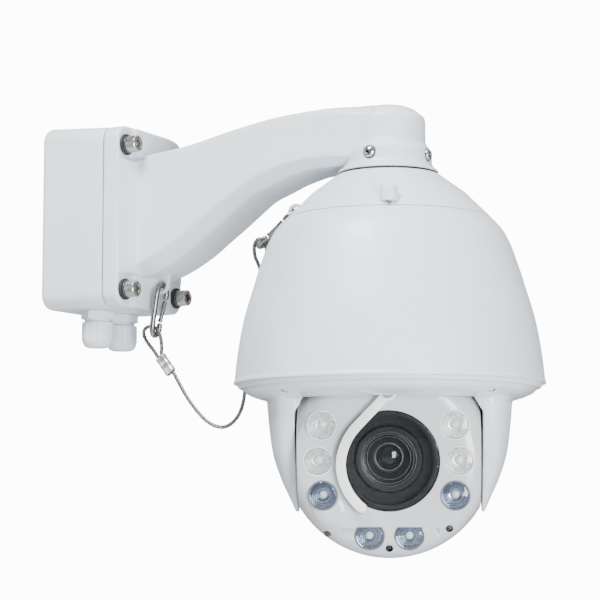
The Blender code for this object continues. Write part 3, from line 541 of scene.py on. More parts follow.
def smooth_path(points, n):
    """n points evenly along a Catmull-Rom curve through the given points."""
    P = [Vector(p) for p in points]
    P = [2 * P[0] - P[1], *P, 2 * P[-1] - P[-2]]
    fine = []
    for i in range(1, len(P) - 2):
        a, b, c, d = P[i - 1:i + 3]
        for k in range(24):
            t = k / 24
            fine.append(0.5 * (2 * b + (c - a) * t + (2 * a - 5 * b + 4 * c - d) * t * t
                               + (3 * b - a - 3 * c + d) * t ** 3))
    fine.append(P[-2])
    run = [0.0]
    for a, b in zip(fine, fine[1:]):
        run.append(run[-1] + (b - a).length)
    out, j = [], 0
    for k in range(n):
        s = run[-1] * k / (n - 1)
        while j < len(run) - 2 and run[j + 1] < s:
            j += 1
        t = (s - run[j]) / max(run[j + 1] - run[j], 1e-9)
        out.append(fine[j].lerp(fine[j + 1], min(max(t, 0), 1)))
    return out


def frames_along(path):
    """Tangent, side and up at each point, turning as little as possible."""
    n = len(path)
    tans = [(path[min(i + 1, n - 1)] - path[max(i - 1, 0)]).normalized() for i in range(n)]
    side = tans[0].orthogonal().normalized()
    out = []
    for t in tans:
        side = (side - t * side.dot(t)).normalized()
        out.append((t, side, t.cross(side)))
    return out


def tube_mesh(path, radius, sides=16, matrix=WORLD, round_ends=True, taper=None):
    """A round bar along a path, with domed ends."""
    fr = frames_along(path)
    rings = []

    def ring(p, s, u, r):
        return [p + (s * math.cos(math.tau * k / sides) + u * math.sin(math.tau * k / sides)) * r for k in range(sides)]

    n = len(path)
    rad = [radius if taper is None else radius * taper(i / (n - 1)) for i in range(n)]
    if round_ends:
        t, s, u = fr[0]
        for a in (80, 60, 35):
            rings.append(ring(path[0] - t * rad[0] * 0.6 * math.sin(math.radians(a)), s, u, rad[0] * math.cos(math.radians(a))))
    for p, (t, s, u), r in zip(path, fr, rad):
        rings.append(ring(p, s, u, r))
    if round_ends:
        t, s, u = fr[-1]
        for a in (35, 60, 80):
            rings.append(ring(path[-1] + t * rad[-1] * 0.6 * math.sin(math.radians(a)), s, u, rad[-1] * math.cos(math.radians(a))))
    return loft_mesh(rings, matrix)


def lerp_table(table, x):
    """Smooth interpolation through a table of ascending x."""
    if x <= table[0][0]:
        return table[0][1]
    if x >= table[-1][0]:
        return table[-1][1]
    for i in range(len(table) - 1):
        (x0, y0), (x1, y1) = table[i], table[i + 1]
        if x <= x1:
            m0 = (y1 - table[i - 1][1]) / (x1 - table[i - 1][0]) if i > 0 else (y1 - y0) / (x1 - x0)
            m1 = (table[i + 2][1] - y0) / (table[i + 2][0] - x0) if i + 2 < len(table) else (y1 - y0) / (x1 - x0)
            h = x1 - x0
            t = (x - x0) / h
            return ((2 * t ** 3 - 3 * t ** 2 + 1) * y0 + (t ** 3 - 2 * t ** 2 + t) * h * m0
                    + (-2 * t ** 3 + 3 * t ** 2) * y1 + (t ** 3 - t ** 2) * h * m1)
    return table[-1][1]


def arc(cx, cy, r, a0, a1, n):
    return [(cx + r * math.cos(math.radians(a0 + (a1 - a0) * i / n)),
             cy + r * math.sin(math.radians(a0 + (a1 - a0) * i / n))) for i in range(n + 1)]


def rounded_rect(hy, hz, r, n=10):
    pts = []
    for cy, cz, a0 in ((hy - r, hz - r, 0), (-(hy - r), hz - r, 90), (-(hy - r), -(hz - r), 180), (hy - r, -(hz - r), 270)):
        pts += arc(cy, cz, r, a0, a0 + 90, n)
    return pts


def hexagon(r, a0=0):
    return [(r * math.cos(math.radians(a0 + 60 * i)), r * math.sin(math.radians(a0 + 60 * i))) for i in range(6)]


# ================================================================ camera and light
cam_data = bpy.data.cameras.new("camera")
cam = bpy.data.objects.new("camera", cam_data)
scene.collection.objects.link(cam)
cam.location = (0.895, -1.291, -0.2275)
cam.rotation_euler = (math.radians(90 + 6.2), 0, math.radians(28))
cam_data.lens = 115.8
cam_data.sensor_width = 36
cam_data.clip_start, cam_data.clip_end = 0.05, 60
scene.camera = cam

world = bpy.data.worlds.new("studio")
scene.world = world
world.use_nodes = True
wt = world.node_tree
bg = wt.nodes["Background"]
tc = wt.nodes.new("ShaderNodeTexCoord")
sep = wt.nodes.new("ShaderNodeSeparateXYZ")
wr = wt.nodes.new("ShaderNodeValToRGB")
mr = wt.nodes.new("ShaderNodeMapRange")
mr.inputs["From Min"].default_value, mr.inputs["From Max"].default_value = -1, 1
wt.links.new(tc.outputs["Generated"], sep.inputs[0])
wt.links.new(sep.outputs["Z"], mr.inputs["Value"])
wt.links.new(mr.outputs["Result"], wr.inputs["Fac"])
wt.links.new(wr.outputs["Color"], bg.inputs["Color"])
for e, (p, c) in zip((wr.color_ramp.elements[0], wr.color_ramp.elements[1]), ((0.30, (0.26, 0.275, 0.29)), (0.62, (0.93, 0.95, 0.97)))):
    e.position = p
    e.color = (*c, 1)
bg.inputs["Strength"].default_value = 0.50


def area(name, where, target, size, power, color=(1, 1, 1)):
    li = bpy.data.lights.new(name, "AREA")
    li.shape = "RECTANGLE"
    li.size, li.size_y = size
    li.energy = power
    li.color = color
    ob = bpy.data.objects.new(name, li)
    scene.collection.objects.link(ob)
    ob.location = where
    ob.rotation_euler = (Vector(target) - Vector(where)).to_track_quat("-Z", "Y").to_euler()
    return ob


area("key", (0.10, -1.4, 1.8), (0.2, 0, -0.05), (0.9, 0.7), 112, (0.985, 0.992, 1.0))
area("fill", (-1.5, -1.4, 0.1), (0.2, 0, -0.08), (0.9, 1.3), 12, (0.97, 0.985, 1.0))
area("low_right", (1.5, -0.95, -0.35), (0.28, -0.05, -0.16), (0.6, 0.9), 42, (0.99, 0.995, 1.0))
area("top", (0.25, 0.2, 1.7), (0.2, 0, 0), (1.4, 1.4), 16)

sky = bpy.data.meshes.new("backdrop")
bm = bmesh.new()
bmesh.ops.create_uvsphere(bm, u_segments=64, v_segments=32, radius=22)
bmesh.ops.reverse_faces(bm, faces=bm.faces)
bm.to_mesh(sky)
bm.free()
back = bpy.data.objects.new("backdrop", sky)
scene.collection.objects.link(back)
km = Nodes("backdrop_white")
em = km.add("ShaderNodeEmission", Color=(1, 1, 1, 1), Strength=13.0)
km.link(em, "Emission", km.out, "Surface")
sky.materials.append(km.m)
for flag in ("visible_diffuse", "visible_glossy", "visible_transmission", "visible_volume_scatter", "visible_shadow"):
    setattr(back, flag, False)
floor_me = bpy.data.meshes.new("floor")
bm = bmesh.new()
bmesh.ops.create_grid(bm, x_segments=1, y_segments=1, size=4.0)
bm.to_mesh(floor_me)
bm.free()
floor = bpy.data.objects.new("floor", floor_me)
scene.collection.objects.link(floor)
floor.location = (0.2, 0, -1.45)
kf = Nodes("pale_floor")
fn = kf.noise(3, 2, 0.5)
fr_ = kf.ramp(fn, "Fac", [(0.3, (0.80, 0.80, 0.80)), (0.7, (0.84, 0.84, 0.84))])
kf.link(fr_, "Color", kf.b, "Base Color")
kf.b.inputs["Roughness"].default_value = 0.8
floor_me.materials.append(kf.m)


# ================================================================ the lanyard rope
def on_dome(r, az, z):
    a = math.radians(az)
    return Vector((PAN_X + r * math.cos(a), r * math.sin(a), z))


F1_HIGH, F1_LOW = Vector((77.0, -0.8, -107.4)), Vector((87.3, -0.8, -120.5))
F2_HIGH, F2_LOW = on_dome(106.3, 180.5, -56), on_dome(110.0, 180, -71)


def ferrule_frame(low, high, across_dir):
    axis = (high - low).normalized()
    side = (across_dir - axis * across_dir.dot(axis)).normalized()
    return Matrix.Translation((low + high) / 2 * MM) @ Matrix((side, axis.cross(side), axis)).transposed().to_4x4(), side


def ferrule(name, low, high, across_dir):
    """A pressed oval sleeve with chamfered mouths and two press marks across its waist."""
    mtx, side = ferrule_frame(low, high, across_dir)
    half = (high - low).length / 2

    def stadium(w, r, n=12):
        return arc(w, 0, r, -90, 90, n) + arc(-w, 0, r, 90, 270, n)

    outer = [(-half, 2.55), (-half + 0.5, 3.0), (-half * 0.62, 3.0), (-half * 0.5, 2.8), (-half * 0.22, 2.8), (-half * 0.1, 3.0),
             (half * 0.1, 3.0), (half * 0.22, 2.8), (half * 0.5, 2.8), (half * 0.62, 3.0), (half - 0.5, 3.0), (half, 2.55)]
    rings = [[(x, y, z) for x, y in stadium(1.8, r)] for z, r in outer]
    rings += [[(x, y, z) for x, y in stadium(1.8, 1.75)] for z in (half, half - 2, -half + 2, -half)]
    me = loft_mesh(rings, mtx, closed=True)
    finish_mesh(me, 30)
    return add_object(name, me, M_ALU, "root", ()), side * 1.8


f1, s1 = ferrule("ferrule_sleeve_1", F1_LOW, F1_HIGH, Vector((0.786, 0, 0.618)))
f2, s2 = ferrule("ferrule_sleeve_2", F2_LOW, F2_HIGH, Vector((-1, 0, 0)))
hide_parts("lanyard_ferrule_1")
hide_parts("lanyard_ferrule_2")
EYE1 = [(71.2, -102.6), (64.9, -95.4), (61.6, -89.6), (62.4, -85.0), (66.6, -83.0), (71.6, -84.0), (75.4, -87.6), (77.4, -93.0),
        (78.3, -100.0)]
EYE2 = [(106.8, 183, -44), (108.9, 185.6, -34), (107.6, 187.6, -25.6), (103.4, 188, -21.6), (98.9, 188, -24.2), (97.8, 187.6, -31),
        (100.6, 185, -42), (103.2, 182.6, -50)]
route = ([F1_LOW - s1 + (F1_HIGH - F1_LOW) * 0.06, (F1_LOW + F1_HIGH) / 2 - s1, F1_HIGH - s1]
         + [Vector((x, -0.8, z)) for x, z in EYE1]
         + [F1_HIGH + s1, (F1_LOW + F1_HIGH) / 2 + s1, F1_LOW + s1]
         + [Vector(p) for p in ((103.6, -1.5, -141.7), (119.8, -2.5, -158.3), (133.8, -3, -164.2), (144.6, -3.6, -161), (152.0, -4, -152.2))]
         + [on_dome(*p) for p in ((121.0, 182, -139.8), (120.6, 182, -125), (118.0, 181.4, -108), (114.2, 180.6, -90))]
         + [F2_LOW + s2, (F2_LOW + F2_HIGH) / 2 + s2, F2_HIGH + s2]
         + [on_dome(*p) for p in EYE2]
         + [F2_HIGH - s2, (F2_LOW + F2_HIGH) / 2 - s2, F2_LOW - s2 + (F2_HIGH - F2_LOW) * 0.06])


def rope(name, route, n=620, strands=6, pitch=21.0, sides=8):
    """A laid wire rope: six round strands wound about a core."""
    path = smooth_path(route, n)
    fr = frames_along(path)
    run = [0.0]
    for a, b in zip(path, path[1:]):
        run.append(run[-1] + (b - a).length)
    parts = [tube_mesh(path, 0.66, 6, round_ends=False)]
    for k in range(strands):
        line = []
        for p, (t, s, u), l in zip(path, fr, run):
            a = math.tau * (l / pitch + k / strands)
            line.append(p + (s * math.cos(a) + u * math.sin(a)) * 0.96)
        parts.append(tube_mesh(line, 0.6, sides, round_ends=False))
    me = merged(parts)
    finish_mesh(me, 50)
    ob = add_object(name, me, M_ROPE, "root", "lanyard_rope")
    return ob, path, run[-1]


rope_ob, rope_path, rope_len = rope("lanyard_wire_rope", route)

# ================================================================ snap hooks
HOOK_LEN = 38.4
HOOK = [(7.6, -8.5), (7.9, -5.0), (6.6, -1.2), (3.2, 1.6), (-0.8, 1.9), (-4.4, -0.4), (-6.2, -4.4), (-6.3, -14), (-6.2, -26),
        (-5.6, -33.5), (-3.2, -37.6), (0.4, -HOOK_LEN), (3.6, -36.0), (4.5, -32.6), (4.2, -29.6)]
ACROSS = RZ(90) @ RX(90)
HOOK1 = T(77.6, 0, -52.2) @ RY(9) @ ACROSS
HOOK2 = D @ RZ(188) @ T(73.2, 0, -3.6) @ RY(-52) @ ACROSS


def hook(n, mtx):
    path = smooth_path([(x, y, 0) for x, y in HOOK], 110)
    me = tube_mesh(path, 2.3, 24, mtx)
    finish_mesh(me, 40)
    add_object(f"snap_hook_bar_{n}", me, M_STEEL, "root", f"snap_hook_{n}")
    g0, g1 = Vector((4.3, -26.9, 0)), Vector((7.2, -11.2, 0))
    ax = (g1 - g0).normalized()
    line = [g0 + ax * (i * (g1 - g0).length / 24) for i in range(25)]
    bar = tube_mesh(line, 1.72, 20, mtx)
    slot_dir = Vector((-ax.y, ax.x, 0))
    m = Matrix((slot_dir, Vector((0, 0, 1)), ax)).transposed().to_4x4()
    m.translation = (g0 + ax * 11.6) * MM
    slot = box_mesh((-3, -0.55, 0), (3, 0.55, 9), mtx @ m)
    m2 = m.copy()
    m2.translation = (g0 + ax * -2.2) * MM
    slot2 = box_mesh((-3, -0.6, 0), (3, 0.6, 4.2), mtx @ m2)
    me = combine(bar, [slot, slot2])
    finish_mesh(me, 35)
    add_object(f"hook_gate_bar_{n}", me, M_STEEL, f"gate_{n}", f"hook_gate_{n}")
    pins = [tube_mesh([g0 + ax * 0.3 + Vector((0, 0, z)) for z in (-2.15, -1, 0, 1, 2.15)], 0.62, 14, mtx),
            tube_mesh([g1 - ax * 1.2 + Vector((0, 0, z)) for z in (-2.0, -1, 0, 1, 2.0)], 0.55, 14, mtx)]
    me = merged(pins)
    finish_mesh(me, 40)
    add_object(f"hook_gate_pins_{n}", me, M_BRIGHT, f"gate_{n}", ())


hook(1, HOOK1)
hook(2, HOOK2)

# ================================================================ wall side
BOX_D, BOX_Y, BOX_Z = 52.0, 48.0, 70.5


def box_ring(x, inset, r, n=12):
    """The wall box's outline at x: its top is higher than its foot, and rises towards the wall."""
    lift = 2.0 + 3.5 * max(0.0, 52.0 - x) / 59
    return [(x, y, z + (lift if z > 0 else 0.0)) for y, z in rounded_rect(BOX_Y - inset, BOX_Z - inset, r, n)]


rings = [box_ring(-7, 6.0, 6.5)]
for i in range(1, 9):
    a = math.radians(90 * i / 8)
    rings.append(box_ring(-1 - 6 * math.cos(a), 6 - 6 * math.sin(a), 6.5 + 5.5 * math.sin(a)))
rings += [box_ring(30, 0, 12), box_ring(51.2, 0, 12), box_ring(51.75, 0.15, 11.85), box_ring(52.0, 0.7, 11.3)]
rings += [box_ring(x, 4.0, 8) for x in (52.0, 30, -3.0)]
shell = loft_mesh(rings, cap=True)
cutters = []
for sy in (-1, 1):
    for sz in (-1, 1):
        cutters.append(turned_mesh([(0, -5), (4.2, -5), (4.2, -0.01), (3.2, 1.2), (3.2, 8), (0, 8)], T(-7, sy * 30, sz * 36) @ ALONG_X, 32))
for y in (-17.5, 17.5):
    cutters.append(rod_mesh((28.5, y, -75), (28.5, y, -62), 10.3))
shell = combine(shell, cutters)
finish_mesh(shell, 28)
add_object("box_shell", shell, M_WHITE, "root", "junction_box")
bosses = merged([turned_mesh(fillet([(8.4, -3.0), (8.4, 51.9), (4.3, 51.9), (4.3, -3.0)], 0.4, 3, True),
                             T(0, sy * 38, sz * 57) @ ALONG_X, 32) for sy in (-1, 1) for sz in (-1, 1)])
finish_mesh(bosses)
add_object("box_screw_bosses", bosses, M_WHITE, "root", ())
me = loft_mesh([box_ring(x, i, 11, 8) for x, i in
                ((51.9, 1.1), (52.6, 1.1), (52.6, 5.0), (51.9, 5.0))], closed=True)
finish_mesh(me, 30)
add_object("box_seal_line", me, M_RUBBER, "root", ())

# glands
for i, y in ((1, -17.5), (2, 17.5)):
    g = T(28.5, y, 0)
    hexa = slab_mesh(hexagon(13.2, 30), -77.2, -70.8, g)
    rounder = turned_mesh(fillet([(0, -70.6), (12.3, -70.6), (13.4, -71.7), (13.4, -76.3), (12.3, -77.4), (0, -77.4)], 0.5, 3), g, 72)
    hexa = combine(hexa, [rounder], "INTERSECT")
    neck = turned_mesh(fillet([(0, -58), (9.9, -58), (9.9, -70.9), (10.9, -71), (10.9, -77.3), (10.3, -77.4), (10.3, -78.9), (9.3, -79.2),
                               (9.3, -91), (0, -91)], 0.25, 3), g, 64)
    body = combine(hexa, [neck], "UNION")
    body = combine(body, [rod_mesh((0, 0, -95), (0, 0, -50), 6.2, g)])
    finish_mesh(body, 30)
    add_object(f"gland_hex_body_{i}", body, M_NYLON, "root", f"gland_body_{i}")

    def facets(a, r, z, n=12):
        k = 1.0 if -94.0 < z < -80.6 and r > 12 else 0.0
        edge = abs(math.sin(a * n / 2))
        return r - 0.42 * k * (1 - edge) ** 2.0

    nut = fillet([(10.9, -79.4), (12.0, -79.6), (12.5, -80.8, 0.6), (12.5, -88), (12.45, -93.2, 0.5), (12.2, -93.9), (11.5, -96.2, 2.0),
                  (9.9, -98.8, 1.6), (7.6, -99.9, 1.0), (5.6, -100, 0.4), (5.2, -99.2), (5.2, -94.8), (6.8, -94.3), (6.8, -90.6),
                  (9.5, -90.6), (9.5, -79.4)], 0.3, 3, True)
    turned(f"gland_dome_nut_{i}", nut, M_NYLON, g, "root", 144, f"gland_nut_{i}", "white_nylon", 30, modulate=facets)
    turned(f"gland_seal_{i}", fillet([(5.1, -98.6), (5.1, -92), (3.4, -92), (3.4, -98.6)], 0.5, 3, True), M_RUBBER, g, "root", 40, (),
           "black_rubber")

# ================================================================ arm casting
ARM_TOP = [(66, 49.0), (72, 49.8), (94, 52.4), (116, 55.2), (146, 61.6), (170, 66.2), (192, 69.6), (222, 71.9), (256, 72.9), (300, 73.3)]
ARM_LOW = [(66, -38.5), (72, -36), (84, -31), (96, -25), (112, -16), (126, -6), (141, 4), (156, 13), (174, 24),
           (186, 28.6), (200, 32), (213, 34), (226, 35), (256, 33.5), (300, 33)]
ARM_BOT = [(66, -46), (72, -45), (85, -43), (96, -38.5), (105, -34), (117, -27), (128, -19), (141, -10), (152, -2),
           (170, 11), (185, 17), (196, 21.5), (208, 25), (220, 27.5), (243, 28), (300, 28)]


def arm_ring(x, inset=0.0):
    t, s, b = lerp_table(ARM_TOP, x) - inset, lerp_table(ARM_LOW, x), lerp_table(ARM_BOT, x) + inset
    w = (28 if x < 255 else 28 - (x - 255) / 16) - inset
    wb, wt = 20 - inset * 0.5, 21 - inset * 0.5
    k = max(0.0, min(1.0, (x - 232) / 38))
    k = k * k * (3 - 2 * k)
    wt -= 8 * k
    d0, d1, d2, d3, d4 = (a + (b_ - a) * k for a, b_ in zip((0, 0.45, 1.6, 3.6, 5.4), (0.0, 1.2, 4.0, 7.8, 9.6)))
    s = max(s + inset * 0.4, b + 0.6)
    half = [(wt, t - d0), (wt + (w - wt) * 0.35, t - d1), (wt + (w - wt) * 0.7, t - d2), (w - 0.2, t - d3), (w, t - d4), (w, s), (wb, b)]
    return [(x, y, z) for y, z in half] + [(x, -y, z) for y, z in reversed(half)]


xs = [67 + i * (271 - 67) / 68 for i in range(69)]
arm = loft_mesh([arm_ring(x) for x in xs])


def flange_ring(x, inset, r=12.0):
    return box_ring(x, inset, r, 10)


flange = loft_mesh([flange_ring(x, i) for x, i in ((52.5, 0.4), (53.0, 0), (66.5, 0))])
pad = box_mesh((64.5, -27, -70.1), (69.5, 27, 72.1))
fair = loft_mesh([[(x, y, z) for x, y in ((60, -47.9), (66.6, -47.9), (72, -27.8), (72, 27.8), (66.6, 47.9), (60, 47.9))]
                  for z in (-44.5, 45.5)])
hub = turned_mesh(fillet([(0, 73), (13, 73, 6), (20, 70.3, 5), (28.0, 64, 5), (28.0, 44.8, 0.6), (32.4, 38.2, 0.6), (32.4, 27.0),
                          (29, 26.5), (0, 26.5)], 0.4, 5), D, 96)
lug = slab_mesh([(69, -42), (69, -56), (73.5, -58)] + arc(77.6, -50.5, 7.2, -115, 0, 14) + [(86, -42)], -2, 2, RX(90))
solid = combine(arm, [flange, pad, fair, hub, lug], "UNION")
holes = [rod_mesh((77.6, -10, -50.6), (77.6, 10, -50.6), 4.1, segs=40), box_mesh((40, -41, -44), (62, 41, 44))]
inner_xs = [58] + [67 + i * (271 - 67) / 34 for i in range(35)]
holes.append(loft_mesh([arm_ring(x, 5.0) for x in inner_xs]))
holes.append(turned_mesh([(0, 60), (21.5, 60), (21.5, 40.6), (29.1, 40.6), (29.1, 10), (0, 10)], D, 72))
SCREWS4 = [(n, sy, sz) for n, (sy, sz) in enumerate(((-1, 1), (-1, -1), (1, -1), (1, 1)), 1)]
for n, sy, sz in SCREWS4:
    holes.append(turned_mesh([(0, 40), (4.6, 40), (4.6, 66.5), (9.4, 66.5), (9.4, 90), (0, 90)], T(0, sy * 38, sz * 57) @ ALONG_X, 48))
for dx, dy in ((0, -1), (1, 0), (0, 1)):
    m = T(PAN_X, 0, 34.2) @ Matrix.Rotation(math.atan2(dy, dx), 4, "Z") @ ALONG_X
    holes.append(turned_mesh([(0, 20), (2.9, 20), (2.9, 31.9), (5.2, 31.9), (5.2, 50), (0, 50)], m, 40))
solid = combine(solid, holes)
arm_me = soften(solid, 1.15, 5)
finish_mesh(arm_me, 70)
add_object("bracket_casting", arm_me, M_WHITE, "root", "bracket_arm")

# the machined collar below the hub, with its lip
collar = turned_mesh(fillet([(28.2, 43.8), (32.75, 37.8, 0.8), (32.75, 29.4, 1.2), (34.2, 26.4, 1.5), (37.3, 24.0, 0.7), (37.6, 22.4, 0.3),
                             (29.3, 22.3), (29.3, 40.2)], 0.3, 5, True), D, 160)
cuts = []
for dx, dy in ((0, -1), (1, 0), (0, 1)):
    m = T(PAN_X, 0, 34.2) @ Matrix.Rotation(math.atan2(dy, dx), 4, "Z") @ ALONG_X
    cuts.append(turned_mesh([(0, 25), (5.15, 25), (5.15, 32.0), (5.6, 32.7), (5.6, 50), (0, 50)], m, 48))
collar = combine(collar, cuts)
finish_mesh(collar, 30)
add_object("hub_collar_ring", collar, M_WHITE, "root", ())


def cross_cutter(depth_from, depth_to, half=2.5, w=0.48, matrix=WORLD):
    out = []
    for k in range(2):
        m = matrix @ RZ(90 * k + 20)
        out.append(loft_mesh([[(x * f, y * g, z) for x, y in ((-1, -1), (1, -1), (1, 1), (-1, 1))]
                              for f, g, z in ((half * 0.45, w * 0.6, depth_from), (half, w, depth_to))], m))
    return out


for i, (dx, dy) in enumerate(((0, -1), (1, 0), (0, 1)), 1):
    m = T(PAN_X, 0, 34.2) @ Matrix.Rotation(math.atan2(dy, dx), 4, "Z") @ ALONG_X
    head = turned_mesh(fillet([(0, 35.3), (1.6, 35.2), (3.0, 34.7, 1), (4.1, 33.7, 1.2), (4.55, 32.25, 0.3), (2.3, 32.2), (2.3, 25.5), (0, 25.5)],
                              0.2, 3), m, 56)
    head = combine(head, cross_cutter(32.9, 35.6, 2.5, 0.55, m))
    finish_mesh(head, 30)
    add_object(f"collar_screw_head_{i}", head, M_BRIGHT, "root", f"collar_screw_{i}")
    turned(f"collar_screw_washer_{i}", fillet([(5.0, 32.6), (5.0, 32.0), (3.0, 32.0), (3.0, 32.6)], 0.15, 2, True), M_DARKSTEEL, m, "root", 48)

# flange screws with their washers
for n, sy, sz in SCREWS4:
    m = T(0, sy * 38, sz * 57) @ ALONG_X @ RZ(13 * n)

    def knurl(a, r, z):
        return r - (0.26 if (71.4 < z < 77.9 and r > 6.2) else 0.0) * (0.5 + 0.5 * math.cos(a * 36))

    prof = fillet([(0, 79.0), (5.6, 79.0, 0.3), (6.4, 78.3, 0.4), (6.5, 78.0), (6.5, 71.2), (6.35, 70.7), (4.0, 70.7), (4.0, 42), (0, 42)], 0.15, 3)
    head = turned_mesh(prof, m, 180, modulate=knurl)
    head = combine(head, [slab_mesh(hexagon(3.55), 74.2, 80, m), turned_mesh([(0, 80), (4.4, 80), (3.5, 78.4), (0, 78.4)], m, 48)])
    finish_mesh(head, 30)
    add_object(f"flange_cap_screw_{n}", head, M_SCREW, "root", f"flange_screw_{n}")
    turned(f"flange_spring_washer_{n}", fillet([(7.1, 70.6), (7.1, 69.0), (4.2, 69.0), (4.2, 70.6)], 0.3, 3, True), M_DARKSTEEL, m, "root", 72)
    turned(f"flange_rubber_washer_{n}", fillet([(8.3, 69.0), (8.3, 66.7), (4.2, 66.7), (4.2, 69.0)], 0.5, 3, True), M_RUBBER, m, "root", 72,
           (), "black_rubber")

# ================================================================ dome
turned("neck_seal", fillet([(37.0, 22.3), (37.0, 20.7), (28.9, 20.7), (28.9, 22.3)], 0.3, 3, True), M_RUBBER, D, "root", 128, "neck_gasket",
       "black_rubber")
cap_profile = fillet([(28.6, 40.2), (28.6, 20.6, 0), (38.2, 20.65, 1.2), (40.4, 19.35, 2.5), (57.6, 6.6, 30), (67.5, -3.2, 20), (76.6, -12.3, 0.5),
                      (76.4, -12.75), (74.2, -12.8), (65.5, -4.6), (55.6, 4.0), (39, 16.6), (24.0, 16.6), (24.0, 40.2)], 0.3, 8, True)
cap_me = turned_mesh(cap_profile, D, 192)
BOSS = D @ RZ(25.5) @ T(0, -72.3, 0)
boss = turned_mesh(fillet([(0, 2.4), (4.4, 2.3, 2.0), (6.6, 0.6, 1.6), (6.6, -9.0), (6.3, -9.6, 0.3), (0, -9.6)], 0.5, 4), BOSS, 64)
eye = slab_mesh(arc(73.2, -2.5, 6.4, -35, 215, 28) + [(60, -1.5), (66, -4.6), (71, -9.4)], -1.9, 1.9, D @ RZ(188) @ RX(90))
cap_me = combine(cap_me, [boss, eye], "UNION")
cap_me = combine(cap_me, [rod_mesh((0, -2.6, -14), (0, -2.6, -3), 1.7, BOSS), rod_mesh((73.2, -10, -2.5), (73.2, 10, -2.5), 3.9, D @ RZ(188))])
finish_mesh(cap_me, 30)
add_object("cap_shell", cap_me, M_WHITE, "root", "upper_cap")
bs = turned_mesh(fillet([(0, -10.9), (1.4, -10.85), (2.5, -10.4), (2.8, -9.75), (1.5, -9.7), (1.5, -3.5), (0, -3.5)], 0.15, 3), BOSS @ T(0, -2.6, 0), 32)
finish_mesh(bs)
add_object("cap_boss_screw", bs, M_BRIGHT, "root", ())

DOME = [(77.2, -13.25, 0.4), (80.6, -16.6), (85.8, -23), (90.9, -33.2), (94.9, -44.5), (98.3, -54.8), (101.3, -65), (104.7, -76), (107.7, -87),
        (110.3, -99.4), (112.3, -112), (113.4, -120.4), (114.2, -128)]


def dense(points, n):
    return [(p.x, p.y) for p in smooth_path([(a[0], a[1], 0) for a in points], n)]


dome_out = [(77.0, -13.15)] + dense(DOME, 46)
dome_in = dense([(111.9, -128), (109.9, -112), (105.3, -87.6), (98.9, -65.8), (92.6, -45.4), (83.6, -24.3), (75.6, -14.2)], 26)
rim = fillet([(114.2, -128), (114.55, -132.2, 1.0), (115.4, -134.2, 0.8), (115.4, RIM_Z, 0.35), (113.0, RIM_Z, 0.3), (112.4, -133, 0.5),
              (111.9, -128)], 0.4, 4)
turned("dome_casting", dome_out + rim[1:-1] + dome_in + [(74.6, -13.15)], M_WHITE, D, "root", 224, "dome_shell", "white_paint", 30)
turned("base_trim_ring", fillet([(111.8, -127.5), (112.3, -134.2, 0.8), (112.6, -136.4, 0.5), (111.7, -138.5, 0.5), (110.0, -139.2, 0.5),
                                 (109.6, -137.4, 0.5), (109.8, -129.5), (104.5, -127.5)], 0.3, 4, True), M_WHITE, D, "root", 224, "base_ring",
       "white_paint", 30)

# ================================================================ pan body
CAV = 91.5
sphere_in = [(CAV * math.cos(math.radians(a)), TILT_Z + CAV * math.sin(math.radians(a))) for a in range(22, 80, 3)]
sphere_out = [((CAV + 2.5) * math.cos(math.radians(a)), TILT_Z + (CAV + 2.5) * math.sin(math.radians(a))) for a in range(79, 32, -4)]
dish = fillet([(84, -132.5, 1), (106.6, -134.4, 1.0), (108.5, -136.2, 1.2), (108.9, -138.0, 1.0), (108.0, -140.4, 2.0), (105.6, -142.6, 3.0),
               (100.5, -145.0, 8.0), (93.0, -147.2, 4.0), (86.5, -148.2, 0.8), (85.0, -147.9, 0.6)], 0.5, 7)
plat = turned_mesh([(13.3, -88.2)] + sphere_out + dish + sphere_in[1:] + [(13.3, TILT_Z + CAV)], PAN, 180)
YOKE_X = [(-229, 69.2), (-220, 73.2), (-206, 79.6), (-188, 85.6), (-168, 88.6), (-147, 90.5), (-141, 91.5)]
YOKE_W = [(-229, 8), (-220, 20), (-206, 33), (-188, 45), (-168, 53.5), (-147, 57.5), (-141, 59)]


def yoke_ring(z, side, n=26):
    xo, w = lerp_table(YOKE_X, z), lerp_table(YOKE_W, z)
    pts = []
    for i in range(n + 1):
        a = math.radians(-90 + 180 * i / n)
        pts.append((67.0 + (xo - 67.0) * abs(math.cos(a)) ** 0.6, w * math.sin(a)))
    pts = [(x * side, y, z) for x, y in pts]
    return pts if side > 0 else pts[::-1]


zs = [-141 - i * (229 - 141) / 44 for i in range(45)]
plat = combine(plat, [loft_mesh([yoke_ring(z, s) for z in zs], PAN) for s in (-1, 1)], "UNION")
for s in (-1, 1):
    web = loft_mesh([[(s * x, y * (lerp_table(YOKE_W, z) - 0.7), z) for x, y in ((50, -1), (68, -1), (68, 1), (50, 1))]
                     for z in (-144, -155, -165, -176)], PAN)
    ball = turned_mesh([(89.2 * math.sin(math.radians(a)), 89.2 * math.cos(math.radians(a))) for a in range(0, 181, 4)], TILT, 90)
    plat = combine(plat, [combine(web, [ball])], "UNION")
plat = soften(plat, 1.0, 3)
shaft_cut = [rod_mesh((60, 0, TILT_Z), (82, 0, TILT_Z), 7.6, PAN), rod_mesh((-60, 0, TILT_Z), (-82, 0, TILT_Z), 7.6, PAN)]


def plate_outline(grow=0.0):
    out = []
    for k in range(15):
        z = -154.5 + grow - k * (57.0 + 2 * grow) / 14
        ratio = 9.3 / (lerp_table(YOKE_X, z) - 63)
        out.append((z, min((lerp_table(YOKE_W, z) - 3) * math.sqrt(1 - ratio ** (2 / 0.6)) - 3.4, 23.6) + grow))
    return [(z, w) for z, w in out] + [(z, -w) for z, w in reversed(out)]


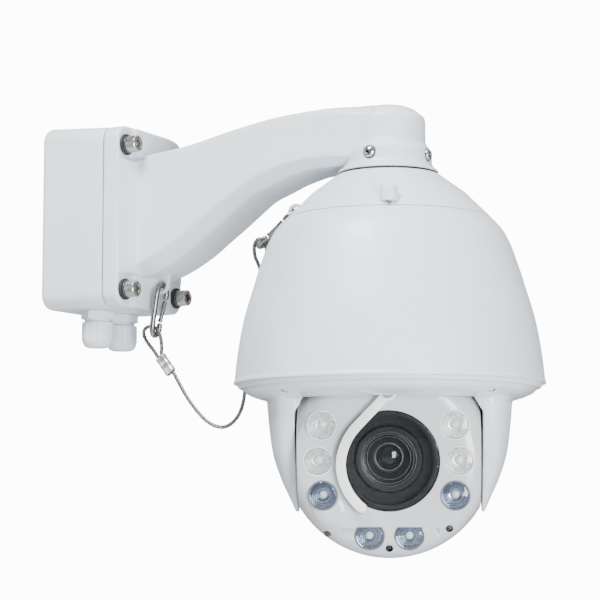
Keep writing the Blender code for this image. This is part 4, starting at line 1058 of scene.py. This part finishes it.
for s in (-1, 1):
    shaft_cut.append(loft_mesh([[(s * x, w, z) for z, w in plate_outline(0.45)] for x in (60, 69.3)], PAN))
dish_screw_at = [D @ RZ(-65.5 + a) @ T(101.0, 0, -144.6) for a in (-46, 46, 134, -134)]
for m in dish_screw_at:
    shaft_cut.append(turned_mesh([(0, 2.4), (2.9, 2.4), (2.9, -1.0), (3.4, -3.0), (3.4, -8), (0, -8)], m, 36))
plat = combine(plat, shaft_cut)
finish_mesh(plat, 50)
plat.materials.clear()
plat.materials.append(M_WHITE)
plat.materials.append(M_DISH_SHADED)
# faces on the dish lip take the glossier dish paint, whose slightly darker colour is painted shade
inv = PAN.inverted()
for p in plat.polygons:
    c = inv @ p.center
    p.material_index = 1 if (c.z > -0.1512 and math.hypot(c.x, c.y) > 0.0842) else 0
plat.transform(SHIFT)
ob = bpy.data.objects.new("pan_yoke_casting", plat)
scene.collection.objects.link(ob)
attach(ob, "pan_head")
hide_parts("pan_platform")
for i, m in enumerate(dish_screw_at, 1):
    head = turned_mesh(fillet([(0, 1.9), (2.3, 1.9), (2.3, 0.6), (1.6, -0.3, 0.8), (0, -0.55)], 0.3, 3), m, 32)
    head = combine(head, cross_cutter(0.9, -0.9, 1.5, 0.32, m))
    finish_mesh(head, 30)
    add_object(f"dish_screw_{i}", head, M_BRIGHT, "pan_head", ())

# the side plates inside the yoke
for name, s in (("left", -1), ("right", 1)):
    ring = plate_outline()
    xa, xb = (67.1, 69.0)
    plate = loft_mesh([[(s * x, w * f, z * 1.0) for z, w in ring] for x, f in ((xa, 0.985), (xa + 0.3, 1.0), (xb, 1.0))], PAN)
    plate = combine(plate, [rod_mesh((s * 60, 0, TILT_Z), (s * 75, 0, TILT_Z), 7.2, PAN)])
    finish_mesh(plate, 30)
    add_object(f"yoke_side_plate_{name}", plate, M_WHITE, "pan_head", f"yoke_cover_{name}")

# ================================================================ camera head
FRONT = [(0, 60.0), (36, 60.0), (50, 59.85), (57.5, 59.4), (63.5, 57.4), (68.6, 52.5), (72.7, 44), (75.5, 33), (77.0, 20), (77.2, 10.3)]
FRONT_IN = [(0, 57.2), (36, 57.2), (56, 56.4), (61.5, 54.4), (66, 50), (69.9, 42.5), (72.7, 32), (74.2, 20), (74.4, 5)]
REAR = [(77.4, 9.9), (77.6, 0), (76.4, -15), (72, -31), (64.5, -46), (53.4, -59), (38.2, -70.2), (20, -77), (0, -79)]
REAR_IN = [(74.6, 15), (74.9, 0), (73.7, -14.4), (69.5, -29.6), (62.2, -44.2), (51.4, -56.8), (36.7, -67.6), (19.3, -74.3), (0, -76.2)]
HALF = 65.5


def head_solid(profile, half, n=60, segs=180):
    me = turned_mesh(dense(profile, n) if n else profile, HEAD, segs)
    return me


def capped(profile, first, last, n):
    return [first] + dense(profile, n) + [last]


face = turned_mesh([(0, 60.0)] + dense(FRONT[1:], 60) + [(76.2, 10.3), (0, 10.3)], HEAD, 180)
face = combine(face, [box_mesh((-HALF, -120, -120), (HALF, 120, 120), HEAD)], "INTERSECT")
face = soften(face, 0.9, 3)
# a soft round bump low on the left of the face
inv = HEAD.inverted()
for v in face.vertices:
    p = inv @ v.co / MM
    d = math.hypot(p.x + 43.6, p.y + 36.0)
    if p.z > 40 and d < 13.5:
        t = max(0.0, min(1.0, (12.6 - d) / 3.2))
        lift = 0.85 * t * t * (3 - 2 * t)
        v.co += (HEAD.to_3x3() @ Vector((0.0, 0.0, lift * MM)))
LEDS = [(-47, 25.5), (-50, 0), (-47, -24.8), (47, 25.5), (50, 0), (47, -24.8)]
LOW = [(-14.2, -54.3), (14.2, -54.3)]
SCREWS = [(0, -63.5, 45), (-44.3, -54.0, 45), (42.8, -49.5, 45)]


def well(r, floor, top, flare=0.7):
    """A cutter for a round well with a rolled lip."""
    pts = [(0, floor), (r, floor), (r, top - flare)]
    for k in range(1, 6):
        a = math.radians(90 * k / 5)
        pts.append((r + flare * (1 - math.cos(a)), top - flare + flare * math.sin(a)))
    pts += [(r + flare + 1.5, top + 1.2), (r + flare + 1.5, top + 14), (0, top + 14)]
    return pts


def d_shape(x0, y0, r, flat, n=40, side=1):
    """A circle cut by a straight line flat mm above its centre."""
    a0 = math.degrees(math.asin(flat / r))
    return arc(x0, y0, r, a0, a0 - (180 + 2 * a0), n)


tools = [turned_mesh([(0, 5)] + [(r, z) for r, z in reversed(FRONT_IN)][:-1] + [(0, 57.2)], HEAD, 96)]
tools[0] = combine(tools[0], [box_mesh((-62.9, -120, -120), (62.9, 120, 120), HEAD)], "INTERSECT")
fine = [turned_mesh(well(36.3, 30, 60.0, 0.55), HEAD, 160)]
for x, u in LEDS:
    r = math.hypot(x, u)
    top = lerp_table([(0, 60), (36, 60), (50, 59.85), (57.5, 59.4), (63.5, 57.4)], r)
    fine.append(turned_mesh(well(10.85, 50, top - 0.02, 0.6), HEAD @ T(x, u, 0), 72))
for x, u in LOW:
    s = 1 if x > 0 else -1
    fine.append(loft_mesh([[(px, py, z) for px, py in d_shape(x, u, r, 6.6 + e)] for r, e, z in
                           ((10.8, 0, 50), (10.8, 0, 58.6), (11.3, 0.3, 59.3), (12.4, 1.2, 60.3), (12.4, 1.2, 74))], HEAD))
for x, u, d in SCREWS:
    fine.append(turned_mesh(well(2.7, 30, 57.0 if x == 0 else 55.5, 0.3), HEAD @ T(x, u, 0), 32))
fine.append(rod_mesh((0, 50, 40), (0, 50, 80), 3.4, HEAD))
face = combine(face, [tools[0]])
face = combine(face, [merged(fine)])
pockets = []
for x, u in LOW:
    s = 1 if x > 0 else -1
    tiltm = HEAD @ T(x + s * 11.0, u - 0.5, 58.0) @ RY(s * 9)
    pockets.append(loft_mesh([[(px, py, z) for px, py in d_shape(0, 0, r, 6.2 + e)] for r, e, z in
                              ((10.2, 0, 0), (10.5, 0.1, 1.0), (12.0, 1.0, 2.4), (12.0, 1.0, 14))], tiltm))
face = combine(face, [merged([pockets[0]]), merged([pockets[1]])])
finish_mesh(face, 32)
# the face casting takes the darkened face paint (painted shade)
add_object("face_casting", face, M_FACE_SHADED, "camera_head", "face_plate")

rear = turned_mesh([(0, 9.9), (76.4, 9.9)] + dense(REAR, 60)[:-1] + [(0, -79.0)], HEAD, 160)
rear = combine(rear, [box_mesh((-HALF, -120, -120), (HALF, 120, 120), HEAD)], "INTERSECT")
rear = soften(rear, 1.15, 3)
rear_room = turned_mesh([(0, 15)] + REAR_IN, HEAD, 96)
rear_room = combine(rear_room, [box_mesh((-62.9, -120, -120), (62.9, 120, 120), HEAD)], "INTERSECT")
rear = combine(rear, [rear_room])
rear = combine(rear, [rod_mesh((55, 0, 0), (80, 0, 0), 6.9, HEAD)])
rear = combine(rear, [rod_mesh((-63.5, 0, 0), (-78, 0, 0), 6.6, HEAD)], "UNION")
finish_mesh(rear, 32)
add_object("rear_casting", rear, M_WHITE, "camera_head", "rear_shell")
turned("face_seam_seal", [(76.3, 10.45), (76.3, 9.75), (75.0, 9.75), (75.0, 10.45)], M_RUBBER, HEAD, "camera_head", 160, (), "black_rubber")
seam = bpy.data.objects["face_seam_seal"]
seam_me = combine(seam.data.copy(), [box_mesh((-62.5, -120, -20), (62.5, 120, 20), SHIFT @ HEAD)], "INTERSECT")
seam.data = seam_me
seam_me.materials.clear()
seam_me.materials.append(M_RUBBER)

# window, barrel and front element
turned("window_disc", fillet([(0, 60.75), (12, 60.62), (24, 60.28), (35.6, 59.7, 0.4), (35.95, 59.2, 0.2), (35.95, 58.2), (0, 58.2)], 0.2, 4),
       M_WINDOW, HEAD, "camera_head", 144, "window", "window_glass", 30)
turned("window_frit", fillet([(35.9, 57.9), (35.9, 56.8), (31.9, 56.8), (31.9, 57.9)], 0.1, 2, True), M_BARREL, HEAD, "camera_head", 144)
barrel = fillet([(15.6, 24), (15.8, 43.8), (16.6, 46.8, 0.3), (17.4, 47.0, 0.2), (17.9, 50.2, 0.3), (19.2, 50.5, 0.2), (20.0, 52.4, 0.4),
                 (23.2, 52.6, 0.5), (24.2, 51.4, 0.4), (24.4, 22.5), (15.6, 22.5)], 0.2, 4, True)
turned("lens_barrel_front", barrel, M_BARREL, HEAD, "camera_head", 144)
body_me = box_mesh((-24, -26, -48), (24, 26, 22.2), HEAD, 1.5)
finish_mesh(body_me, 30)
add_object("zoom_camera_body", body_me, M_PLASTIC, "camera_head", "zoom_camera")
turned("window_well_liner", fillet([(33.6, 56.6), (32.6, 50.6), (24.8, 50.4), (24.8, 49.4), (33.6, 49.4), (35.0, 56.6)], 0.2, 3, True), M_BAFFLE,
       HEAD, "camera_head", 144)
for i, (r, z) in enumerate(((15.6, 46.5), (17.9, 49.9), (19.6, 51.6)), 1):
    turned(f"lens_name_ring_{i}", fillet([(r + 0.28, z + 0.35), (r + 0.28, z - 0.5), (r - 0.28, z - 0.5), (r - 0.28, z + 0.35)], 0.12, 3, True),
           M_RING, HEAD, "camera_head", 144)
turned("lens_inner_cone", fillet([(15.5, 45.6), (11.2, 41.4, 0.3), (9.7, 41.2, 0.2), (9.6, 39.0), (15.6, 39.0)], 0.2, 4, True), M_BARREL, HEAD,
       "camera_head", 144)
turned("lens_inner_ring", fillet([(10.2, 41.8), (10.2, 40.8), (9.3, 40.8), (9.3, 41.8)], 0.15, 3, True), M_RING, HEAD, "camera_head", 120)
elem = [(9.4 * math.sin(math.radians(a)) / math.sin(math.radians(40)), 39.4 + 14.6 * (math.cos(math.radians(a)) - math.cos(math.radians(40))))
        for a in range(0, 41, 2)]
turned("lens_front_element", elem + [(9.4, 38.6), (0, 38.6)], M_LENS, HEAD, "camera_head", 96)

# infrared lamps
for i, (x, u) in enumerate(LEDS + LOW, 1):
    low = i > 6
    top = 56.6 if low else 60.6
    bright = i in (3, 6, 7, 8)
    m = HEAD @ T(x, u, top - 60.6)

    def zz(z, low=low):
        return 56.2 + (z - 52.3) * 0.53 if low else z

    cup_mat, cover = (M_CHROME, M_COVERBLUE) if bright else (M_MILKY, M_COVER)
    steps = [(10.3, 59.0, 0.15), (9.3, 59.1, 0.1), (9.0, 57.9, 0.25), (8.2, 58.0, 0.2), (7.7, 56.9, 0.25), (6.9, 57.0, 0.2), (6.4, 55.8, 0.25),
             (5.5, 55.9, 0.2), (4.8, 54.5, 0.25), (3.6, 54.4, 0.2), (2.9, 53.6, 0.2), (0, 53.5, 0)]
    cup_profile = fillet(list(reversed(steps)), 0.2, 4) + [(10.3, 58.2), (9.2, 56.6), (6.6, 54.2), (3.4, 52.4), (0, 52.3)]
    cup = turned_mesh([(r, zz(z)) for r, z in cup_profile], m, 88)
    finish_mesh(cup, 24)
    c = add_object(f"lamp_reflector_{i}", cup, cup_mat, "camera_head", f"led_lens_{i}")
    lens = turned_mesh(fillet([(0, 60.6), (5, 60.45), (9.2, 59.95, 0.8), (10.4, 59.0, 0.3), (10.45, 58.4), (9.9, 58.9), (8.6, 59.5), (5, 59.9),
                               (0, 60.05)], 0.2, 4), m, 72)
    finish_mesh(lens, 30)
    add_object(f"lamp_cover_{i}", lens, cover, "camera_head", ())
    dome_p = [(2.5 * math.sin(math.radians(a)), 54.9 + 2.5 * math.cos(math.radians(a))) for a in range(0, 91, 9)] + [(2.7, 54.8), (2.7, 53.7), (0, 53.7)]
    dome_p = [(r, zz(z) + (0.5 if low else 0.0)) for r, z in dome_p]
    turned(f"lamp_emitter_{i}", dome_p, M_DIE, m, "camera_head", 40)
    turned(f"lamp_bezel_{i}", fillet([(10.8, 59.75), (10.8, 57.2), (10.42, 57.2), (10.42, 59.35), (9.95, 59.4), (9.95, 59.75)], 0.1, 2, True),
           M_BLUERING if bright else M_WIPER, m, "camera_head", 72)

for i, (x, u, d) in enumerate(SCREWS, 1):
    m = HEAD @ T(x, u, 0)
    head = turned_mesh(fillet([(0, d + 7.5), (1.4, d + 7.4), (2.3, d + 6.6, 0.5), (2.4, d + 5.4), (1.5, d + 5.2), (1.5, d - 34), (0, d - 34)], 0.15, 3), m, 32)
    head = combine(head, cross_cutter(d + 6.0, d + 7.8, 1.6, 0.35, m))
    finish_mesh(head, 30)
    add_object(f"face_screw_head_{i}", head, M_DARKSTEEL, "camera_head", f"face_screw_{i}")

# ================================================================ wiper
WIPER = HEAD @ T(0, 50, 0)
WP = [(0, 0), (-7, -8.5), (-16.5, -18.4), (-27.5, -31.2), (-33.2, -46.5), (-32.8, -60), (-28.5, -71.3), (-22.6, -79.3), (-17.0, -84.3)]


def bar(points, n, section):
    """A bar along a flat path; section(t) gives the cross-section as (side, height) points, t from 0 to 1."""
    path = [Vector((p.x, p.y)) for p in smooth_path([(x, y, 0) for x, y in points], n)]
    rings = []
    for i, p in enumerate(path):
        t = (path[min(i + 1, n - 1)] - path[max(i - 1, 0)]).normalized()
        side = Vector((-t.y, t.x))
        rings.append([(p.x + side.x * s, p.y + side.y * s, z) for s, z in section(i / (n - 1))])
    return loft_mesh(rings, WIPER)


def arm_section(t):
    w = 3.55
    if t > 0.985:
        w = 3.55 - 1.3 * (t - 0.985) / 0.015
    if t < 0.02:
        w = 2.6 + 0.95 * t / 0.02
    lo, hi = 63.3, 66.55
    return ([(-w + 0.9, hi), (-w + 0.35, hi - 0.18), (-w, hi - 0.75), (-w, lo + 0.3), (-w + 0.3, lo)]
            + [(w - 0.3, lo), (w, lo + 0.3), (w, hi - 0.75), (w - 0.35, hi - 0.18), (w - 0.9, hi), (0, hi + 0.05)])


wa = bar(WP, 90, arm_section)
hubm = turned_mesh(fillet([(0, 67.2), (4.9, 67.15, 0.8), (6.2, 65.9, 0.8), (6.2, 61.6, 0.3), (0, 61.6)], 0.3, 5), WIPER, 64)
spin = rod_mesh((0, 0, 57.0), (0, 0, 63), 3.0, WIPER)
joint_line = []
for s, p in ((0.0, (-10.6, -12.2)), (1.0, (-15.2, -17.0))):
    d = Vector((-9.5, -9.9)).normalized()
    m = WIPER @ T(p[0], p[1], 66.62) @ Matrix.Rotation(math.atan2(d.y, d.x), 4, "Z")
    joint_line.append(box_mesh((-0.16, -2.4 if s else -3.9, -0.5), (0.16, 2.4 if s else 3.9, 0.6), m))
wa = combine(wa, [hubm, spin], "UNION")
wa = combine(wa, joint_line)
finish_mesh(wa, 34)
add_object("wiper_arm_bar", wa, M_WIPER, "wiper", "wiper_arm")


turned("wiper_pivot_cap", fillet([(0, 68.0), (3.6, 67.9, 0.5), (4.3, 67.4, 0.2), (4.3, 66.6), (0, 66.6)], 0.2, 3), M_PIVOT, WIPER, "wiper", 48)


# the blade is real, but its top flange reaches 0.3 mm past the arm on each side so a thin black rubber line shows as
# painted shadow along the arm
def blade_section(t):
    return [(-3.85, 63.28), (-3.85, 62.7), (-1.5, 62.4), (-0.5, 61.9), (-0.32, 61.0), (0.32, 61.0), (0.5, 61.9), (1.5, 62.4), (3.85, 62.7), (3.85, 63.28)]


wb = bar(WP[2:], 70, blade_section)
finish_mesh(wb, 34)
add_object("wiper_blade_strip", wb, M_BLADE, "wiper", "wiper_blade")

# ================================================================ carried-over nodes
CARRIED = {
    "box_gasket": M_RUBBER, "terminal_board": M_BOARD, "motor_plate": M_TURNED, "pan_bearing": M_BRIGHT, "slip_ring": M_PLASTIC,
    "pan_motor": M_PLASTIC, "pan_motor_pulley": M_TURNED, "main_board": M_BOARD, "pan_belt": M_RUBBER, "pan_pulley": M_TURNED,
    "tilt_motor": M_PLASTIC, "tilt_motor_pulley": M_TURNED, "tilt_belt": M_RUBBER, "zoom_camera": M_PLASTIC, "led_board": M_BOARD,
    "tilt_shaft": M_TURNED, "wiper_motor": M_PLASTIC,
}
for name, ob in NODES.items():
    if ob.hide_render:
        continue
    ob.data.materials.clear()
    ob.data.materials.append(CARRIED.get(name, M_PLASTIC))

for ob in list(bpy.data.objects):
    if ob.name.startswith("temp"):
        bpy.data.objects.remove(ob)
